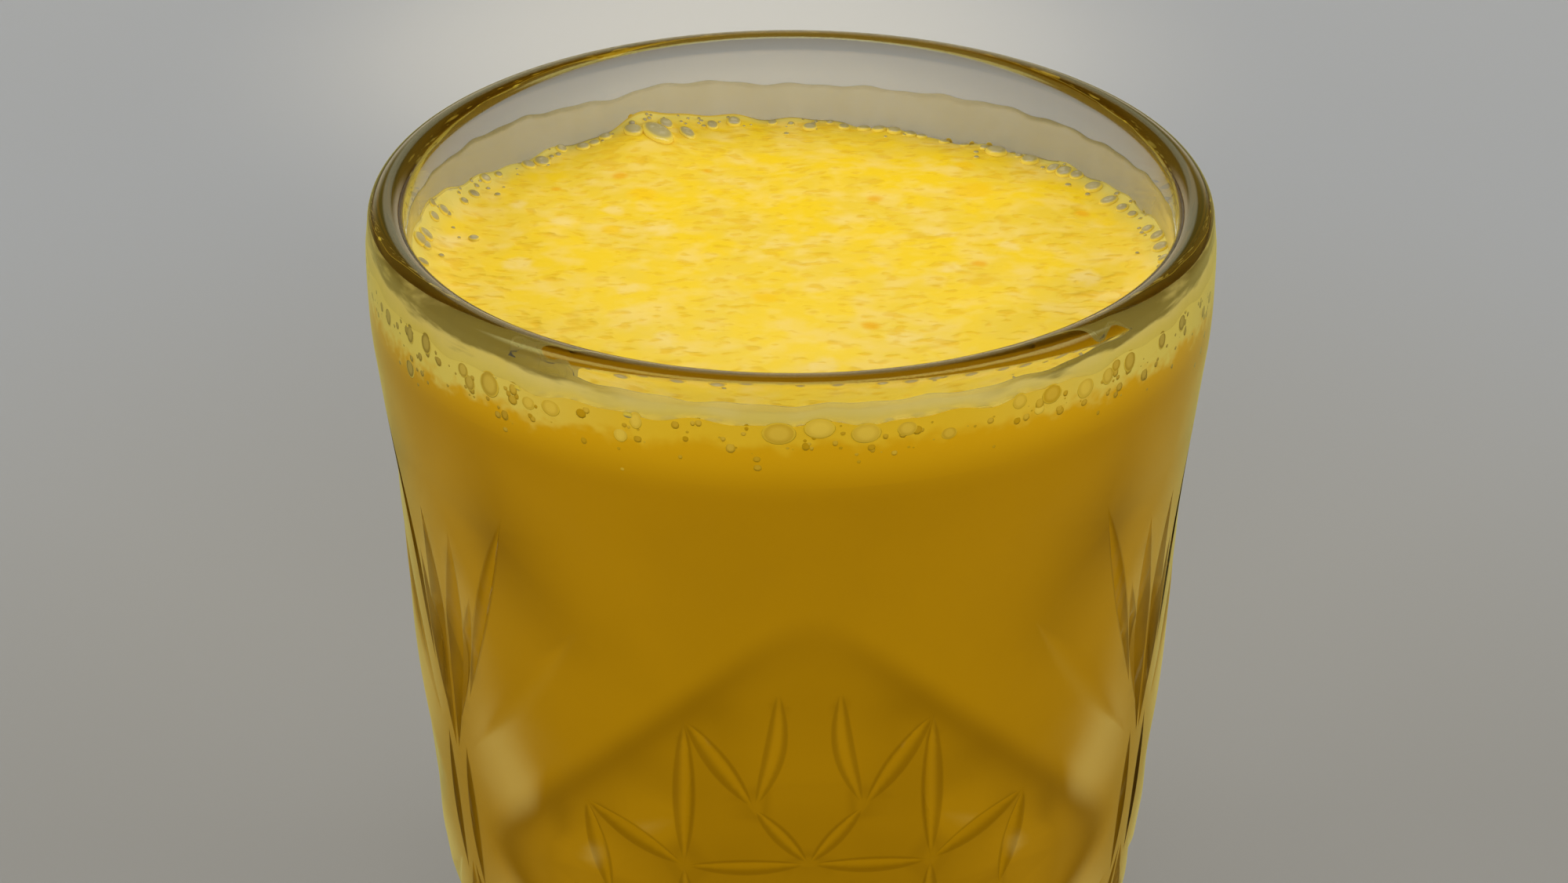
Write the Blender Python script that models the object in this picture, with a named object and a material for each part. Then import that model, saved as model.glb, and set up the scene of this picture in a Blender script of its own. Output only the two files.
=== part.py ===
"""A tall glass of mango lassi: a pressed tumbler with a cut-star pattern, the drink, and the froth on it.

Metres, +Z up. The origin is the middle of the foot, on the surface that the glass stands on.
Sizes below are in millimetres and are turned into metres where the meshes are made.
A medallion faces -Y; azimuth is counted from there, towards +X.
"""

import math
import random

import bmesh
import bpy
from mathutils import Vector, geometry

MM = 0.001

# The tumbler
HEIGHT = 110.0
LIP_RADIUS = 1.83  # the round edge of the rim, in section
RIM_RADIUS = 42.5  # the widest point of the round edge
LIP_CENTRE_RADIUS = RIM_RADIUS - LIP_RADIUS
LIP_CENTRE_HEIGHT = HEIGHT - LIP_RADIUS
INNER_TOP_RADIUS = LIP_CENTRE_RADIUS - LIP_RADIUS
INNER_TAPER = 0.06  # how much the inner radius falls for each mm of depth
FLOOR_HEIGHT = 12.0  # the thick foot of pressed glass
FLOOR_FILLET = 8.0
FOOT_EDGE = 2.5  # radius of the round lower edge
FOOT_FACE_RADIUS = 31.5
FOOT_FACE_INNER_RADIUS = 26.0
FOOT_HOLLOW = 1.2
FOOT_HOLLOW_SLOPE = 3.0

# The outer wall: height and radius where its curve turns. A plain band stands out at the top.
OUTER_WALL = (
    (3.0, 34.0), (10.0, 35.9), (22.0, 37.9), (35.0, 39.5), (47.6, 40.55), (60.0, 41.0),
    (74.0, 41.25), (81.0, 41.6), (87.0, 42.1), (93.0, 42.65), (99.0, 43.0), (105.0, 42.9),
    (LIP_CENTRE_HEIGHT, RIM_RADIUS),
)

# The cut pattern, drawn flat on the wall and repeated round it
REPEATS = 3
SECTOR_STEPS = 24  # facets round one repeat
WRAP_RADIUS = 41.0  # flat distances across are arcs at this radius
HALF_SECTOR = WRAP_RADIUS * math.pi / REPEATS
PATTERN_BOTTOM = 6.0
PATTERN_TOP = 96.0
GRID_ROWS = 15
WALL_ROWS = (40.0, 62.0, 84.0, 100.0)  # heights of the rings of the plain inside wall
BAND_ROWS = (105.0, 102.0, 99.0, PATTERN_TOP)
INNER_RING = 20.0  # radius of a ring that splits each wide flat face
MEDALLION_HEIGHT = 47.6
FRAME_REACH = 34.8  # from the medallion's middle to each rounded corner of its diamond frame
FRAME_ROUNDING = 3.0  # 0 is a sharp diamond
FRAME_WIDTH = 6.0  # of the soft step that leads down into the medallion's field
FRAME_DEPTH = 0.5
FRAME_POINTS = 36
STAR_DEPTH = 0.8
FAN_FOOT = 5.4  # from the medallion's middle up to the foot of the fan beside it
LOWER_FAN_SCALE = 0.86

# What fills it
FIT_GAP = 0.3
FROTH_TOP = HEIGHT - 8.7  # in the middle
FROTH_TILT = 0.034  # it stands higher at -Y
FROTH_BOTTOM = HEIGHT - 12.0
FROTH_SPACING = 2.3
FROTH_JITTER = 0.4
MENISCUS_RISE = 1.0
MENISCUS_REACH = 1.6
LUMPS = 60
MOUND = (-15.5, 30.5, 1.3, 6.0)  # x, y, height and spread of the heap of big bubbles by the wall

RING = REPEATS * SECTOR_STEPS
ROW_PITCH = 0.5 * 3.0 ** 0.5  # between the rows of a triangular grid of spacing 1


def smooth_through(points, at):
    """The value at `at` of a curve through (place, value) points, with no overshoot between them."""
    places = [point[0] for point in points]
    values = [point[1] for point in points]
    if at <= places[0]:
        return values[0]
    if at >= places[-1]:
        return values[-1]
    slopes = [
        (values[i + 1] - values[i]) / (places[i + 1] - places[i]) for i in range(len(points) - 1)
    ]

    def tangent(i):
        if i == 0:
            return slopes[0]
        if i == len(points) - 1:
            return slopes[-1]
        before, after = slopes[i - 1], slopes[i]
        return 0.0 if before * after <= 0.0 else 2.0 * before * after / (before + after)

    i = next(k for k in range(len(slopes)) if at <= places[k + 1])
    step = places[i + 1] - places[i]
    t = (at - places[i]) / step
    return (
        (1.0 + 2.0 * t) * (1.0 - t) ** 2 * values[i]
        + t * (1.0 - t) ** 2 * step * tangent(i)
        + t * t * (3.0 - 2.0 * t) * values[i + 1]
        + t * t * (t - 1.0) * step * tangent(i + 1)
    )


def outer_radius(height):
    return smooth_through(OUTER_WALL, height)


def inner_radius(height):
    return INNER_TOP_RADIUS - INNER_TAPER * (LIP_CENTRE_HEIGHT - height)


def arc(centre_radius, centre_height, size, start, end, steps):
    """Points (radius, height) on an arc, its angles in degrees from the outward direction."""
    angles = (math.radians(start + (end - start) * i / steps) for i in range(steps + 1))
    return [
        (centre_radius + size * math.cos(angle), centre_height + size * math.sin(angle))
        for angle in angles
    ]


# The cut pattern


def leaf(start, end, width, depth, bow=0.0):
    """A mitre cut: pointed at both ends, V-shaped across, deepest in the middle. bow bends it sideways."""
    return {"start": Vector(start), "end": Vector(end), "width": width, "depth": depth, "bow": bow}


def leaf_axes(cut):
    run = cut["end"] - cut["start"]
    along = run.normalized()
    return run.length, along, Vector((-along.y, along.x))


def leaf_point(cut, t, side):
    """The flat place at t along the cut, and side half-widths across it."""
    length, along, across = leaf_axes(cut)
    swell = math.sin(math.pi * t)
    shift = cut["bow"] * swell + side * 0.5 * cut["width"] * swell
    return cut["start"] + along * (t * length) + across * shift


def leaf_depth(cut, place):
    length, along, across = leaf_axes(cut)
    offset = place - cut["start"]
    t = offset.dot(along) / length
    if not 0.0 < t < 1.0:
        return 0.0
    swell = math.sin(math.pi * t)
    aside = abs(offset.dot(across) - cut["bow"] * swell) / (0.5 * cut["width"] * swell)
    return cut["depth"] * swell * max(0.0, 1.0 - aside)


def mirrored(cut, x_sign, y_sign, y_scale=1.0):
    def turn(point):
        return (point.x * x_sign, point.y * y_sign * y_scale)

    return leaf(
        turn(cut["start"]), turn(cut["end"]), cut["width"], cut["depth"], cut["bow"] * x_sign * y_sign
    )


def star_cuts():
    """The cuts inside the diamond frame, from its middle: a quarter of the star, mirrored both ways."""
    upper_node, side_node = (12.2, 24.4), (23.3, 11.6)
    upper_knot, side_knot = (5.4, 14.4), (12.6, 6.3)
    crown, hub_side = (0.0, 7.6), (20.9, 0.0)
    quarter = [
        leaf(upper_node, side_knot, 2.0, STAR_DEPTH),
        leaf(upper_node, upper_knot, 2.1, STAR_DEPTH),
        leaf(upper_knot, crown, 1.5, 0.7 * STAR_DEPTH),
        leaf(side_node, side_knot, 2.1, STAR_DEPTH),
        leaf(side_node, hub_side, 2.0, STAR_DEPTH),
        leaf(upper_knot, (3.0, 28.8), 1.8, 0.45 * STAR_DEPTH, bow=0.9),
        leaf(side_knot, crown, 1.6, 0.7 * STAR_DEPTH),
        leaf((1.2, 1.2), (5.2, 4.4), 1.6, 0.6 * STAR_DEPTH),
    ]
    cuts = [mirrored(cut, x_sign, y_sign) for cut in quarter for x_sign in (-1, 1) for y_sign in (-1, 1)]
    spine = [leaf((12.6 * side, -6.3), (12.6 * side, 6.3), 1.8, 0.8 * STAR_DEPTH) for side in (-1, 1)]
    return cuts + spine


def fan_cuts():
    """The leaves that spread from the foot of each fan, half of it on each edge of the repeat."""

    def ray(angle, start, end, width, depth, bow=0.0):
        direction = Vector((math.sin(math.radians(angle)), math.cos(math.radians(angle))))
        foot = Vector((0.0, FAN_FOOT))
        return leaf(foot + direction * start, foot + direction * end, width, depth, bow)

    half = [
        ray(5.5, 3.0, 31.0, 3.4, 0.9),
        ray(12.5, 8.0, 25.0, 1.9, 0.7),
        ray(18.5, 12.0, 39.0, 1.8, 0.7, bow=0.5),
        ray(37.0, 6.0, 34.0, 4.6, 0.5),
    ]
    cuts = []
    for cut in half:
        for side in (-1, 1):
            upper = mirrored(cut, -side, 1)
            lower = mirrored(cut, -side, -1, LOWER_FAN_SCALE)
            for one in (upper, lower):
                shift = Vector((side * HALF_SECTOR, 0.0))
                one["start"] += shift
                one["end"] += shift
                cuts.append(one)
    blade_x, blade_reach = HALF_SECTOR - 2.0, 9.5
    cuts += [
        leaf((side * blade_x, -blade_reach), (side * blade_x, blade_reach), 1.6, 0.7) for side in (-1, 1)
    ]
    return cuts


CUTS = star_cuts() + fan_cuts()


def frame_point(turn, side):
    """A place on the diamond frame, turn radians round it and side half-widths across it."""
    reach = FRAME_REACH + side * 0.5 * FRAME_WIDTH * 2.0 ** 0.5 + FRAME_ROUNDING
    straight = 1.0 - (2.0 * FRAME_ROUNDING / reach) ** 2
    size = reach * (straight / (1.0 + (1.0 - straight * math.cos(2.0 * turn) ** 2) ** 0.5)) ** 0.5
    return Vector((math.cos(turn), math.sin(turn))) * size


def frame_depth(place):
    """The medallion's field lies deeper than the wall round it, past a soft step along the diamond."""
    reach = math.hypot(place.x, FRAME_ROUNDING) + math.hypot(place.y, FRAME_ROUNDING) - FRAME_ROUNDING
    aside = (reach - FRAME_REACH) / (0.5 * FRAME_WIDTH * 2.0 ** 0.5)
    aside = max(-1.0, min(1.0, aside))
    return FRAME_DEPTH * 0.5 * (1.0 - math.sin(0.5 * math.pi * aside))


def cut_depth(place):
    """How deep the pattern goes at a flat place, measured from the medallion's middle."""
    return frame_depth(place) + max(leaf_depth(cut, place) for cut in CUTS)


def pattern_mesh():
    """The pattern's flat triangles over one repeat: their places and their corner numbers."""
    left, right = -HALF_SECTOR, HALF_SECTOR
    low, high = PATTERN_BOTTOM - MEDALLION_HEIGHT, PATTERN_TOP - MEDALLION_HEIGHT
    points, edges = [], []

    def add_line(line, closed=False):
        first = len(points)
        points.extend(line)
        last = len(points) - 1
        edges.extend((i, i + 1) for i in range(first, last))
        if closed:
            edges.append((last, first))

    def inside(place):
        return left + 0.4 < place.x < right - 0.4 and low + 0.4 < place.y < high - 0.4

    columns = [left + (right - left) * i / SECTOR_STEPS for i in range(SECTOR_STEPS + 1)]
    rows = [low + (high - low) * j / GRID_ROWS for j in range(GRID_ROWS + 1)]
    border = [Vector((x, low)) for x in columns]
    border += [Vector((right, y)) for y in rows[1:]]
    border += [Vector((x, high)) for x in reversed(columns[:-1])]
    border += [Vector((left, y)) for y in reversed(rows[1:-1])]
    add_line(border, closed=True)
    for cut in CUTS:
        steps = 6 if leaf_axes(cut)[0] > 15.0 else 4
        for side in (-1, 0, 1):
            line = [leaf_point(cut, i / steps, side) for i in range(steps + 1)]
            add_line([place for place in line if inside(place)])
    for side in (-1.0, -0.45, 0.45, 1.0):
        turns = (2.0 * math.pi * i / FRAME_POINTS for i in range(FRAME_POINTS))
        add_line([frame_point(turn, side) for turn in turns], closed=True)
    for j, y in enumerate(rows[1:-1]):
        for i in range(1, SECTOR_STEPS, 2):
            place = Vector((columns[i] + (columns[1] - columns[0]) * (j % 2 - 0.5), y))
            if inside(place) and cut_depth(place) == frame_depth(place):
                points.append(place)
    result = geometry.delaunay_2d_cdt(points, edges, [], 0, 0.05)
    return result[0], result[2]


# The meshes


def wrapped(azimuth, radius, height):
    return Vector((radius * math.sin(azimuth), -radius * math.cos(azimuth), height)) * MM


def add_lathe(mesh, outline):
    """Turns (radius, height) points round +Z. The outline runs down the outside; radius 0 closes it."""
    rings = []
    for radius, height in outline:
        if radius == 0.0:
            rings.append([mesh.verts.new(wrapped(0.0, 0.0, height))])
            continue
        turns = (2.0 * math.pi * i / RING - math.pi / REPEATS for i in range(RING))
        rings.append([mesh.verts.new(wrapped(turn, radius, height)) for turn in turns])
    for upper, lower in zip(rings, rings[1:]):
        for i in range(RING):
            corners = [
                upper[i % len(upper)], lower[i % len(lower)],
                lower[(i + 1) % len(lower)], upper[(i + 1) % len(upper)],
            ]
            mesh.faces.new(list(dict.fromkeys(corners)))


def add_pattern(mesh):
    places, triangles = pattern_mesh()
    for repeat in range(REPEATS):
        turn = repeat * 2.0 * math.pi / REPEATS
        corners = []
        for place in places:
            height = place.y + MEDALLION_HEIGHT
            radius = outer_radius(height) - cut_depth(place)
            corners.append(mesh.verts.new(wrapped(turn + place.x / WRAP_RADIUS, radius, height)))
        for triangle in triangles:
            mesh.faces.new([corners[i] for i in triangle])


def finish(mesh, name, colour, roughness, transmission=0.0, sharp_angle=30.0):
    """Welds the rings and the pattern together, turns the faces out, and makes the object."""
    bmesh.ops.remove_doubles(mesh, verts=mesh.verts, dist=0.00001)
    bmesh.ops.triangulate(mesh, faces=mesh.faces)
    bmesh.ops.recalc_face_normals(mesh, faces=mesh.faces)
    data = bpy.data.meshes.new(name)
    mesh.to_mesh(data)
    mesh.free()
    data.shade_smooth()
    data.set_sharp_from_angle(angle=math.radians(sharp_angle))
    material = bpy.data.materials.new(name)
    material.use_nodes = True
    shader = material.node_tree.nodes["Principled BSDF"]
    shader.inputs["Base Color"].default_value = colour
    shader.inputs["Roughness"].default_value = roughness
    shader.inputs["Transmission Weight"].default_value = transmission
    data.materials.append(material)
    body = bpy.data.objects.new(name, data)
    bpy.context.scene.collection.objects.link(body)
    return body


def floor_outline(offset):
    """The inside of the glass below its straight wall, offset inwards from the glass."""
    height = FLOOR_HEIGHT + FLOOR_FILLET
    radius = inner_radius(height) - FLOOR_FILLET
    return arc(radius, height, FLOOR_FILLET - offset, 0.0, -90.0, 5)


def make_glass():
    mesh = bmesh.new()
    lip = arc(LIP_CENTRE_RADIUS, LIP_CENTRE_HEIGHT, LIP_RADIUS, 180.0, 0.0, 8)
    band = [(outer_radius(height), height) for height in BAND_ROWS]
    wall = [(inner_radius(height), height) for height in WALL_ROWS]
    inside = [(0.0, FLOOR_HEIGHT), (INNER_RING, FLOOR_HEIGHT)] + floor_outline(0.0)[::-1] + wall
    add_lathe(mesh, inside + lip + band)
    foot = [(outer_radius(PATTERN_BOTTOM), PATTERN_BOTTOM)]
    foot += arc(FOOT_FACE_RADIUS, FOOT_EDGE, FOOT_EDGE, 0.0, -90.0, 4)
    hollow_radius = FOOT_FACE_INNER_RADIUS - FOOT_HOLLOW_SLOPE
    hollow = [(radius, FOOT_HOLLOW) for radius in (hollow_radius, 0.5 * INNER_RING, 0.0)]
    add_lathe(mesh, foot + [(FOOT_FACE_INNER_RADIUS, 0.0)] + hollow)
    add_pattern(mesh)
    return finish(mesh, "glass", (0.93, 0.95, 0.88, 1.0), 0.03, transmission=1.0)


def make_lassi():
    mesh = bmesh.new()
    top, floor = FROTH_BOTTOM - FIT_GAP, FLOOR_HEIGHT + FIT_GAP
    wall = [(inner_radius(height) - FIT_GAP, height) for height in (top, *WALL_ROWS[-2::-1])]
    outline = [(0.0, top), (INNER_RING, top)] + wall + floor_outline(FIT_GAP)
    add_lathe(mesh, outline + [(0.5 * INNER_RING, floor), (0.0, floor)])
    return finish(mesh, "lassi", (0.80, 0.42, 0.02, 1.0), 0.35)


def froth_lumps():
    """Low seeded swellings and hollows over the froth: x, y, height and spread of each."""
    draw = random.Random(11)
    lumps = [MOUND]
    for _ in range(LUMPS):
        angle, reach = draw.uniform(0.0, 2.0 * math.pi), 36.0 * draw.random() ** 0.5
        height, spread = draw.uniform(-0.3, 0.4), draw.uniform(2.2, 5.0)
        lumps.append((reach * math.cos(angle), reach * math.sin(angle), height, spread))
    return lumps


def froth_height(place, lumps):
    """The uneven, slightly tilted top of the froth, which climbs a little where it meets the wall."""
    edge = inner_radius(FROTH_TOP) - FIT_GAP
    height = FROTH_TOP - FROTH_TILT * place.y + MENISCUS_RISE * math.exp(-(edge - place.length) / MENISCUS_REACH)
    for x, y, rise, spread in lumps:
        height += rise * math.exp(-(place - Vector((x, y))).length_squared / spread ** 2)
    return height


def make_froth():
    """A layer with a flat underside, a wall-hugging side, and an uneven top."""
    mesh = bmesh.new()
    low_edge = inner_radius(FROTH_BOTTOM) - FIT_GAP
    top_edge = inner_radius(FROTH_TOP) - FIT_GAP
    turns = [2.0 * math.pi * i / RING - math.pi / REPEATS for i in range(RING)]
    rim = [Vector((math.sin(turn), -math.cos(turn))) * top_edge for turn in turns]
    points = list(rim)
    draw = random.Random(5)
    half = int(top_edge / FROTH_SPACING / ROW_PITCH) + 1
    for j in range(-half, half + 1):
        for i in range(-half, half + 1):
            place = Vector((i + 0.5 * (j % 2), j * ROW_PITCH)) * FROTH_SPACING
            place += Vector((draw.uniform(-1.0, 1.0), draw.uniform(-1.0, 1.0))) * FROTH_JITTER
            if place.length < top_edge - 0.6 * FROTH_SPACING:
                points.append(place)
    edges = [(i, (i + 1) % RING) for i in range(RING)]
    places, _, triangles = geometry.delaunay_2d_cdt(points, edges, [], 0, 0.05)[:3]
    lumps = froth_lumps()
    top = [mesh.verts.new((x * MM, y * MM, froth_height(Vector((x, y)), lumps) * MM)) for x, y in places]
    for triangle in triangles:
        mesh.faces.new([top[i] for i in triangle])
    low = [mesh.verts.new(wrapped(turn, low_edge, FROTH_BOTTOM)) for turn in turns]
    for i in range(RING):
        mesh.faces.new([top[i], low[i], low[(i + 1) % RING], top[(i + 1) % RING]])
    mesh.faces.new(low[::-1])
    return finish(mesh, "froth", (0.90, 0.66, 0.10, 1.0), 0.45)


def main():
    for body in list(bpy.data.objects):
        bpy.data.objects.remove(body, do_unlink=True)
    make_glass()
    make_lassi()
    make_froth()


main()
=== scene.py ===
"""A glass of mango lassi: a pressed tumbler with a cut-star pattern, the drink in it, and its froth.

Metres, +Z up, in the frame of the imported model. Sizes inside the functions are in millimetres.
A medallion of the pattern faces -Y; azimuth is counted from there, towards +X.
"""

import math
import random

import bmesh
import bpy
import numpy as np
from bpy.props import FloatProperty, FloatVectorProperty, IntProperty, PointerProperty
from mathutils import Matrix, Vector, geometry


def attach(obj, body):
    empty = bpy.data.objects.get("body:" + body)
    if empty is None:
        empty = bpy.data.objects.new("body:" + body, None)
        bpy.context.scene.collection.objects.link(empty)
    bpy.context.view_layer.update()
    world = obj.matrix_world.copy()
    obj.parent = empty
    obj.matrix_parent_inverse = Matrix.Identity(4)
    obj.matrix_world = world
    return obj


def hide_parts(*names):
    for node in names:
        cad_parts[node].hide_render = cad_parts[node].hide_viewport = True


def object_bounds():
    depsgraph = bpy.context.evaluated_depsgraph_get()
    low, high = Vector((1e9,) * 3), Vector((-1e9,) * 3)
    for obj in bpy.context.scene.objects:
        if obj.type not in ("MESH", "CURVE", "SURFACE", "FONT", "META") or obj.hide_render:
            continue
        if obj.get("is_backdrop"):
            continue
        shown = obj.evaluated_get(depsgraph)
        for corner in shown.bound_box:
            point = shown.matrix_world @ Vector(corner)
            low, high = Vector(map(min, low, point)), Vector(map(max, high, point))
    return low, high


bl_info = {
    "name": "Mango lassi in a pressed tumbler",
    "version": (1, 0, 0),
    "blender": (4, 5, 0),
    "location": "3D View > Sidebar > Lassi",
    "description": "Builds the tumbler, the drink, its froth, film and bubbles, and a plain studio",
    "category": "Object",
}

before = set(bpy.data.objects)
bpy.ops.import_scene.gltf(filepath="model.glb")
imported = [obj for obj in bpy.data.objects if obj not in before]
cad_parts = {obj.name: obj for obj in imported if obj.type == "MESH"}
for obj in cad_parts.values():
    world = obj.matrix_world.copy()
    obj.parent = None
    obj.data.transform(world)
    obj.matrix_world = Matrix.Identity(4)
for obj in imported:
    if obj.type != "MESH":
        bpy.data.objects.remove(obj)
CAD_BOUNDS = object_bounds()
BODY = "root"
MM = 0.001

# The tumbler, in millimetres: heights above its foot, and radii
HEIGHT = 110.0
LIP_RADIUS = 1.83
RIM_RADIUS = 42.5
LIP_CENTRE_RADIUS = RIM_RADIUS - LIP_RADIUS
LIP_CENTRE_HEIGHT = HEIGHT - LIP_RADIUS
INNER_TOP_RADIUS = LIP_CENTRE_RADIUS - LIP_RADIUS
INNER_TAPER = 0.06
FLOOR_HEIGHT = 12.0
FLOOR_FILLET = 8.0
WALL_FOOT, WALL_TOP = 22.0, 106.0  # heights between which the inside of the wall is straight
BAND_TOP = 107.2
FOOT_ROUNDING = 2.5
FOOT_FACE_RADIUS = 31.5
FOOT_FACE_INNER_RADIUS = 26.0
FOOT_HOLLOW = 1.2
OUTER_WALL = (
    (3.0, 34.0), (10.0, 35.9), (22.0, 37.9), (35.0, 39.5), (47.6, 40.55), (60.0, 41.0),
    (74.0, 41.25), (81.0, 41.6), (87.0, 42.1), (93.0, 42.65), (99.0, 43.0), (105.0, 42.9),
    (LIP_CENTRE_HEIGHT, RIM_RADIUS),
)
REPEATS = 3
WRAP_RADIUS = 41.0
HALF_SECTOR = WRAP_RADIUS * math.pi / REPEATS
PATTERN_BOTTOM = 6.0
PATTERN_TOP = 96.0
MEDALLION_HEIGHT = 47.6
FRAME_REACH = 34.8
FRAME_ROUNDING = 3.0
FRAME_WIDTH = 6.0
DIAGONAL = 2.0 ** 0.5
FRAME_DEPTH = 0.5
STAR_DEPTH = 0.8
FAN_FOOT = 5.4
LOWER_FAN_SCALE = 0.86
LINE_REACH = 0.42  # how far the painted shade line along a cut's border fades

# The flat mesh of the pattern
BORDER_MARGIN = 0.2  # kept free along the edges of the repeat
TRIANGLE_ROW = 0.866  # height of a row of even triangles, by their side
MERGE_WITHIN = 0.02
FRAME_STEPS, FRAME_LINES, SOFT_LINES = 144, 11, 9

GLASS_IOR = 1.5
WATER_IOR = 1.333

# What fills it
FROTH_LEVEL = HEIGHT - 8.7  # in the middle
FROTH_TILT = 0.034  # the froth stands higher at -Y
DRINK_LEVEL = HEIGHT - 12.0
DRINK_TOP = DRINK_LEVEL + 0.2  # it overlaps the froth a little
DRINK_PAINTED_LIGHT = (HEIGHT - 14.0, HEIGHT - 8.0)  # heights over which the drink and the froth's side grow lighter: painted light from above
DRINK_RING = 192
DRINK_WETTING = (74.0, 90.0)  # heights over which the drink mirrors more and more
INTO_WALL = 0.12  # how far the drink and the froth reach into the glass, so that no air shows

# Round the wall: azimuth in degrees, and how far below the rim the froth meets it, or its film ends
FROTH_EDGE = (
    (-168.0, 8.9), (-158.0, 7.5), (-147.0, 9.1), (-128.0, 8.6), (-113.0, 6.9), (-100.0, 5.7), (-72.0, 6.3),
    (-45.0, 6.1), (-4.0, 5.5), (30.0, 5.6), (60.0, 6.0), (94.0, 7.2), (105.0, 8.0), (130.0, 9.2),
    (151.0, 10.6), (165.0, 10.2), (179.0, 9.7),
)
FILM_EDGE = (
    (-161.0, 4.5), (-151.0, 5.0), (-138.0, 4.3), (-128.0, 3.8), (-110.0, 3.6), (-79.0, 3.5), (-63.0, 3.2),
    (-48.0, 3.1), (-40.0, 3.1), (-30.0, 3.3), (-21.0, 3.5), (-3.0, 3.5), (7.0, 3.4), (16.0, 3.5),
    (24.0, 3.7), (38.0, 3.6), (50.0, 3.3), (62.0, 3.2), (80.0, 3.5), (110.0, 4.2), (144.0, 5.0),
    (158.0, 5.5), (178.0, 5.6),
)


def smooth_through(points, at):
    """The values at `at` of a curve through (place, value) points, with no overshoot between them."""
    places = np.array([point[0] for point in points])
    values = np.array([point[1] for point in points])
    slopes = np.diff(values) / np.diff(places)
    before, after = slopes[:-1], slopes[1:]
    turning = before * after <= 0.0
    middle = np.where(turning, 0.0, 2.0 * before * after / np.where(turning, 1.0, before + after))
    tangents = np.concatenate([slopes[:1], middle, slopes[-1:]])
    at = np.clip(at, places[0], places[-1])
    i = np.clip(np.searchsorted(places, at, side="left") - 1, 0, len(slopes) - 1)
    step = places[i + 1] - places[i]
    t = (at - places[i]) / step
    return (
        (1.0 + 2.0 * t) * (1.0 - t) ** 2 * values[i]
        + t * (1.0 - t) ** 2 * step * tangents[i]
        + t * t * (3.0 - 2.0 * t) * values[i + 1]
        + t * t * (t - 1.0) * step * tangents[i + 1]
    )


def depth_round(table, azimuth):
    """The depth that a table round the wall gives at azimuths in radians."""
    turns = [(angle + turn, depth) for turn in (-360.0, 0.0, 360.0) for angle, depth in table]
    return smooth_through(turns, np.degrees(azimuth))


def outer_radius(height):
    return smooth_through(OUTER_WALL, height)


def inner_radius(height):
    return INNER_TOP_RADIUS - INNER_TAPER * (LIP_CENTRE_HEIGHT - height)


def arc(centre_radius, centre_height, size, start, end, steps):
    """Points (radius, height) on an arc, its angles in degrees from the outward direction."""
    angles = np.radians(np.linspace(start, end, steps + 1))
    return list(zip(centre_radius + size * np.cos(angles), centre_height + size * np.sin(angles)))


def fade(low, high, value):
    """0 below low, 1 above high, smooth between."""
    t = np.clip((value - low) / (high - low), 0.0, 1.0)
    return t * t * (3.0 - 2.0 * t)


def azimuths(places):
    return np.arctan2(places[:, 0], -places[:, 1])


def reaches(places):
    """The distances from the tumbler's axis."""
    return np.hypot(places[:, 0], places[:, 1])


def past_wall(places):
    """How far beyond the inner face of the wall."""
    return reaches(places) - inner_radius(places[:, 2])


# The cut pattern, drawn flat from the medallion's middle


class Cut:
    """A cut in the wall, pointed at both ends and deepest in the middle.

    bow bends it sideways, and soft rounds its sides.
    """

    def __init__(self, start, end, width, depth, bow=0.0, soft=False):
        self.start, self.end = Vector(start), Vector(end)
        self.width, self.depth, self.bow, self.soft = width, depth, bow, soft

    def turned(self, x_sign, y_sign, y_scale=1.0, shift=0.0):
        def turn(point):
            return (point.x * x_sign + shift, point.y * y_sign * y_scale)

        bow = self.bow * x_sign * y_sign
        return Cut(turn(self.start), turn(self.end), self.width, self.depth, bow, self.soft)

    def axes(self):
        run = self.end - self.start
        along = run.normalized()
        return run.length, along, Vector((-along.y, along.x))

    def point(self, t, side):
        """The flat place at t along the cut, and side half-widths across it."""
        length, along, across = self.axes()
        swell = math.sin(math.pi * t)
        shift = (self.bow + side * 0.5 * self.width) * swell
        return self.start + along * (t * length) + across * shift

    def course(self, x, y):
        """At flat places: the share along the cut, its swell there, and the distance from its middle line."""
        length, along, across = self.axes()
        dx, dy = x - self.start.x, y - self.start.y
        t = (dx * along.x + dy * along.y) / length
        swell = np.sin(math.pi * np.clip(t, 0.0, 1.0))
        return t, swell, np.abs(dx * across.x + dy * across.y - self.bow * swell)

    def depths(self, x, y):
        t, swell, aside = self.course(x, y)
        aside = np.clip(aside / np.maximum(0.5 * self.width * swell, 1e-6), 0.0, 1.0)
        profile = np.cos(0.5 * math.pi * aside) ** 2 if self.soft else 1.0 - aside
        return np.where((t > 0.0) & (t < 1.0), self.depth * swell * profile, 0.0)

    def borders(self, x, y):
        """1 on the cut's two borders, fading within LINE_REACH of them and towards its points: where the
        painted shade lines fall.
        """
        _, swell, aside = self.course(x, y)
        near = np.clip(1.0 - np.abs(aside - 0.5 * self.width * swell) / LINE_REACH, 0.0, 1.0)
        return near * np.clip(2.5 * swell, 0.0, 1.0)


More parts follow.
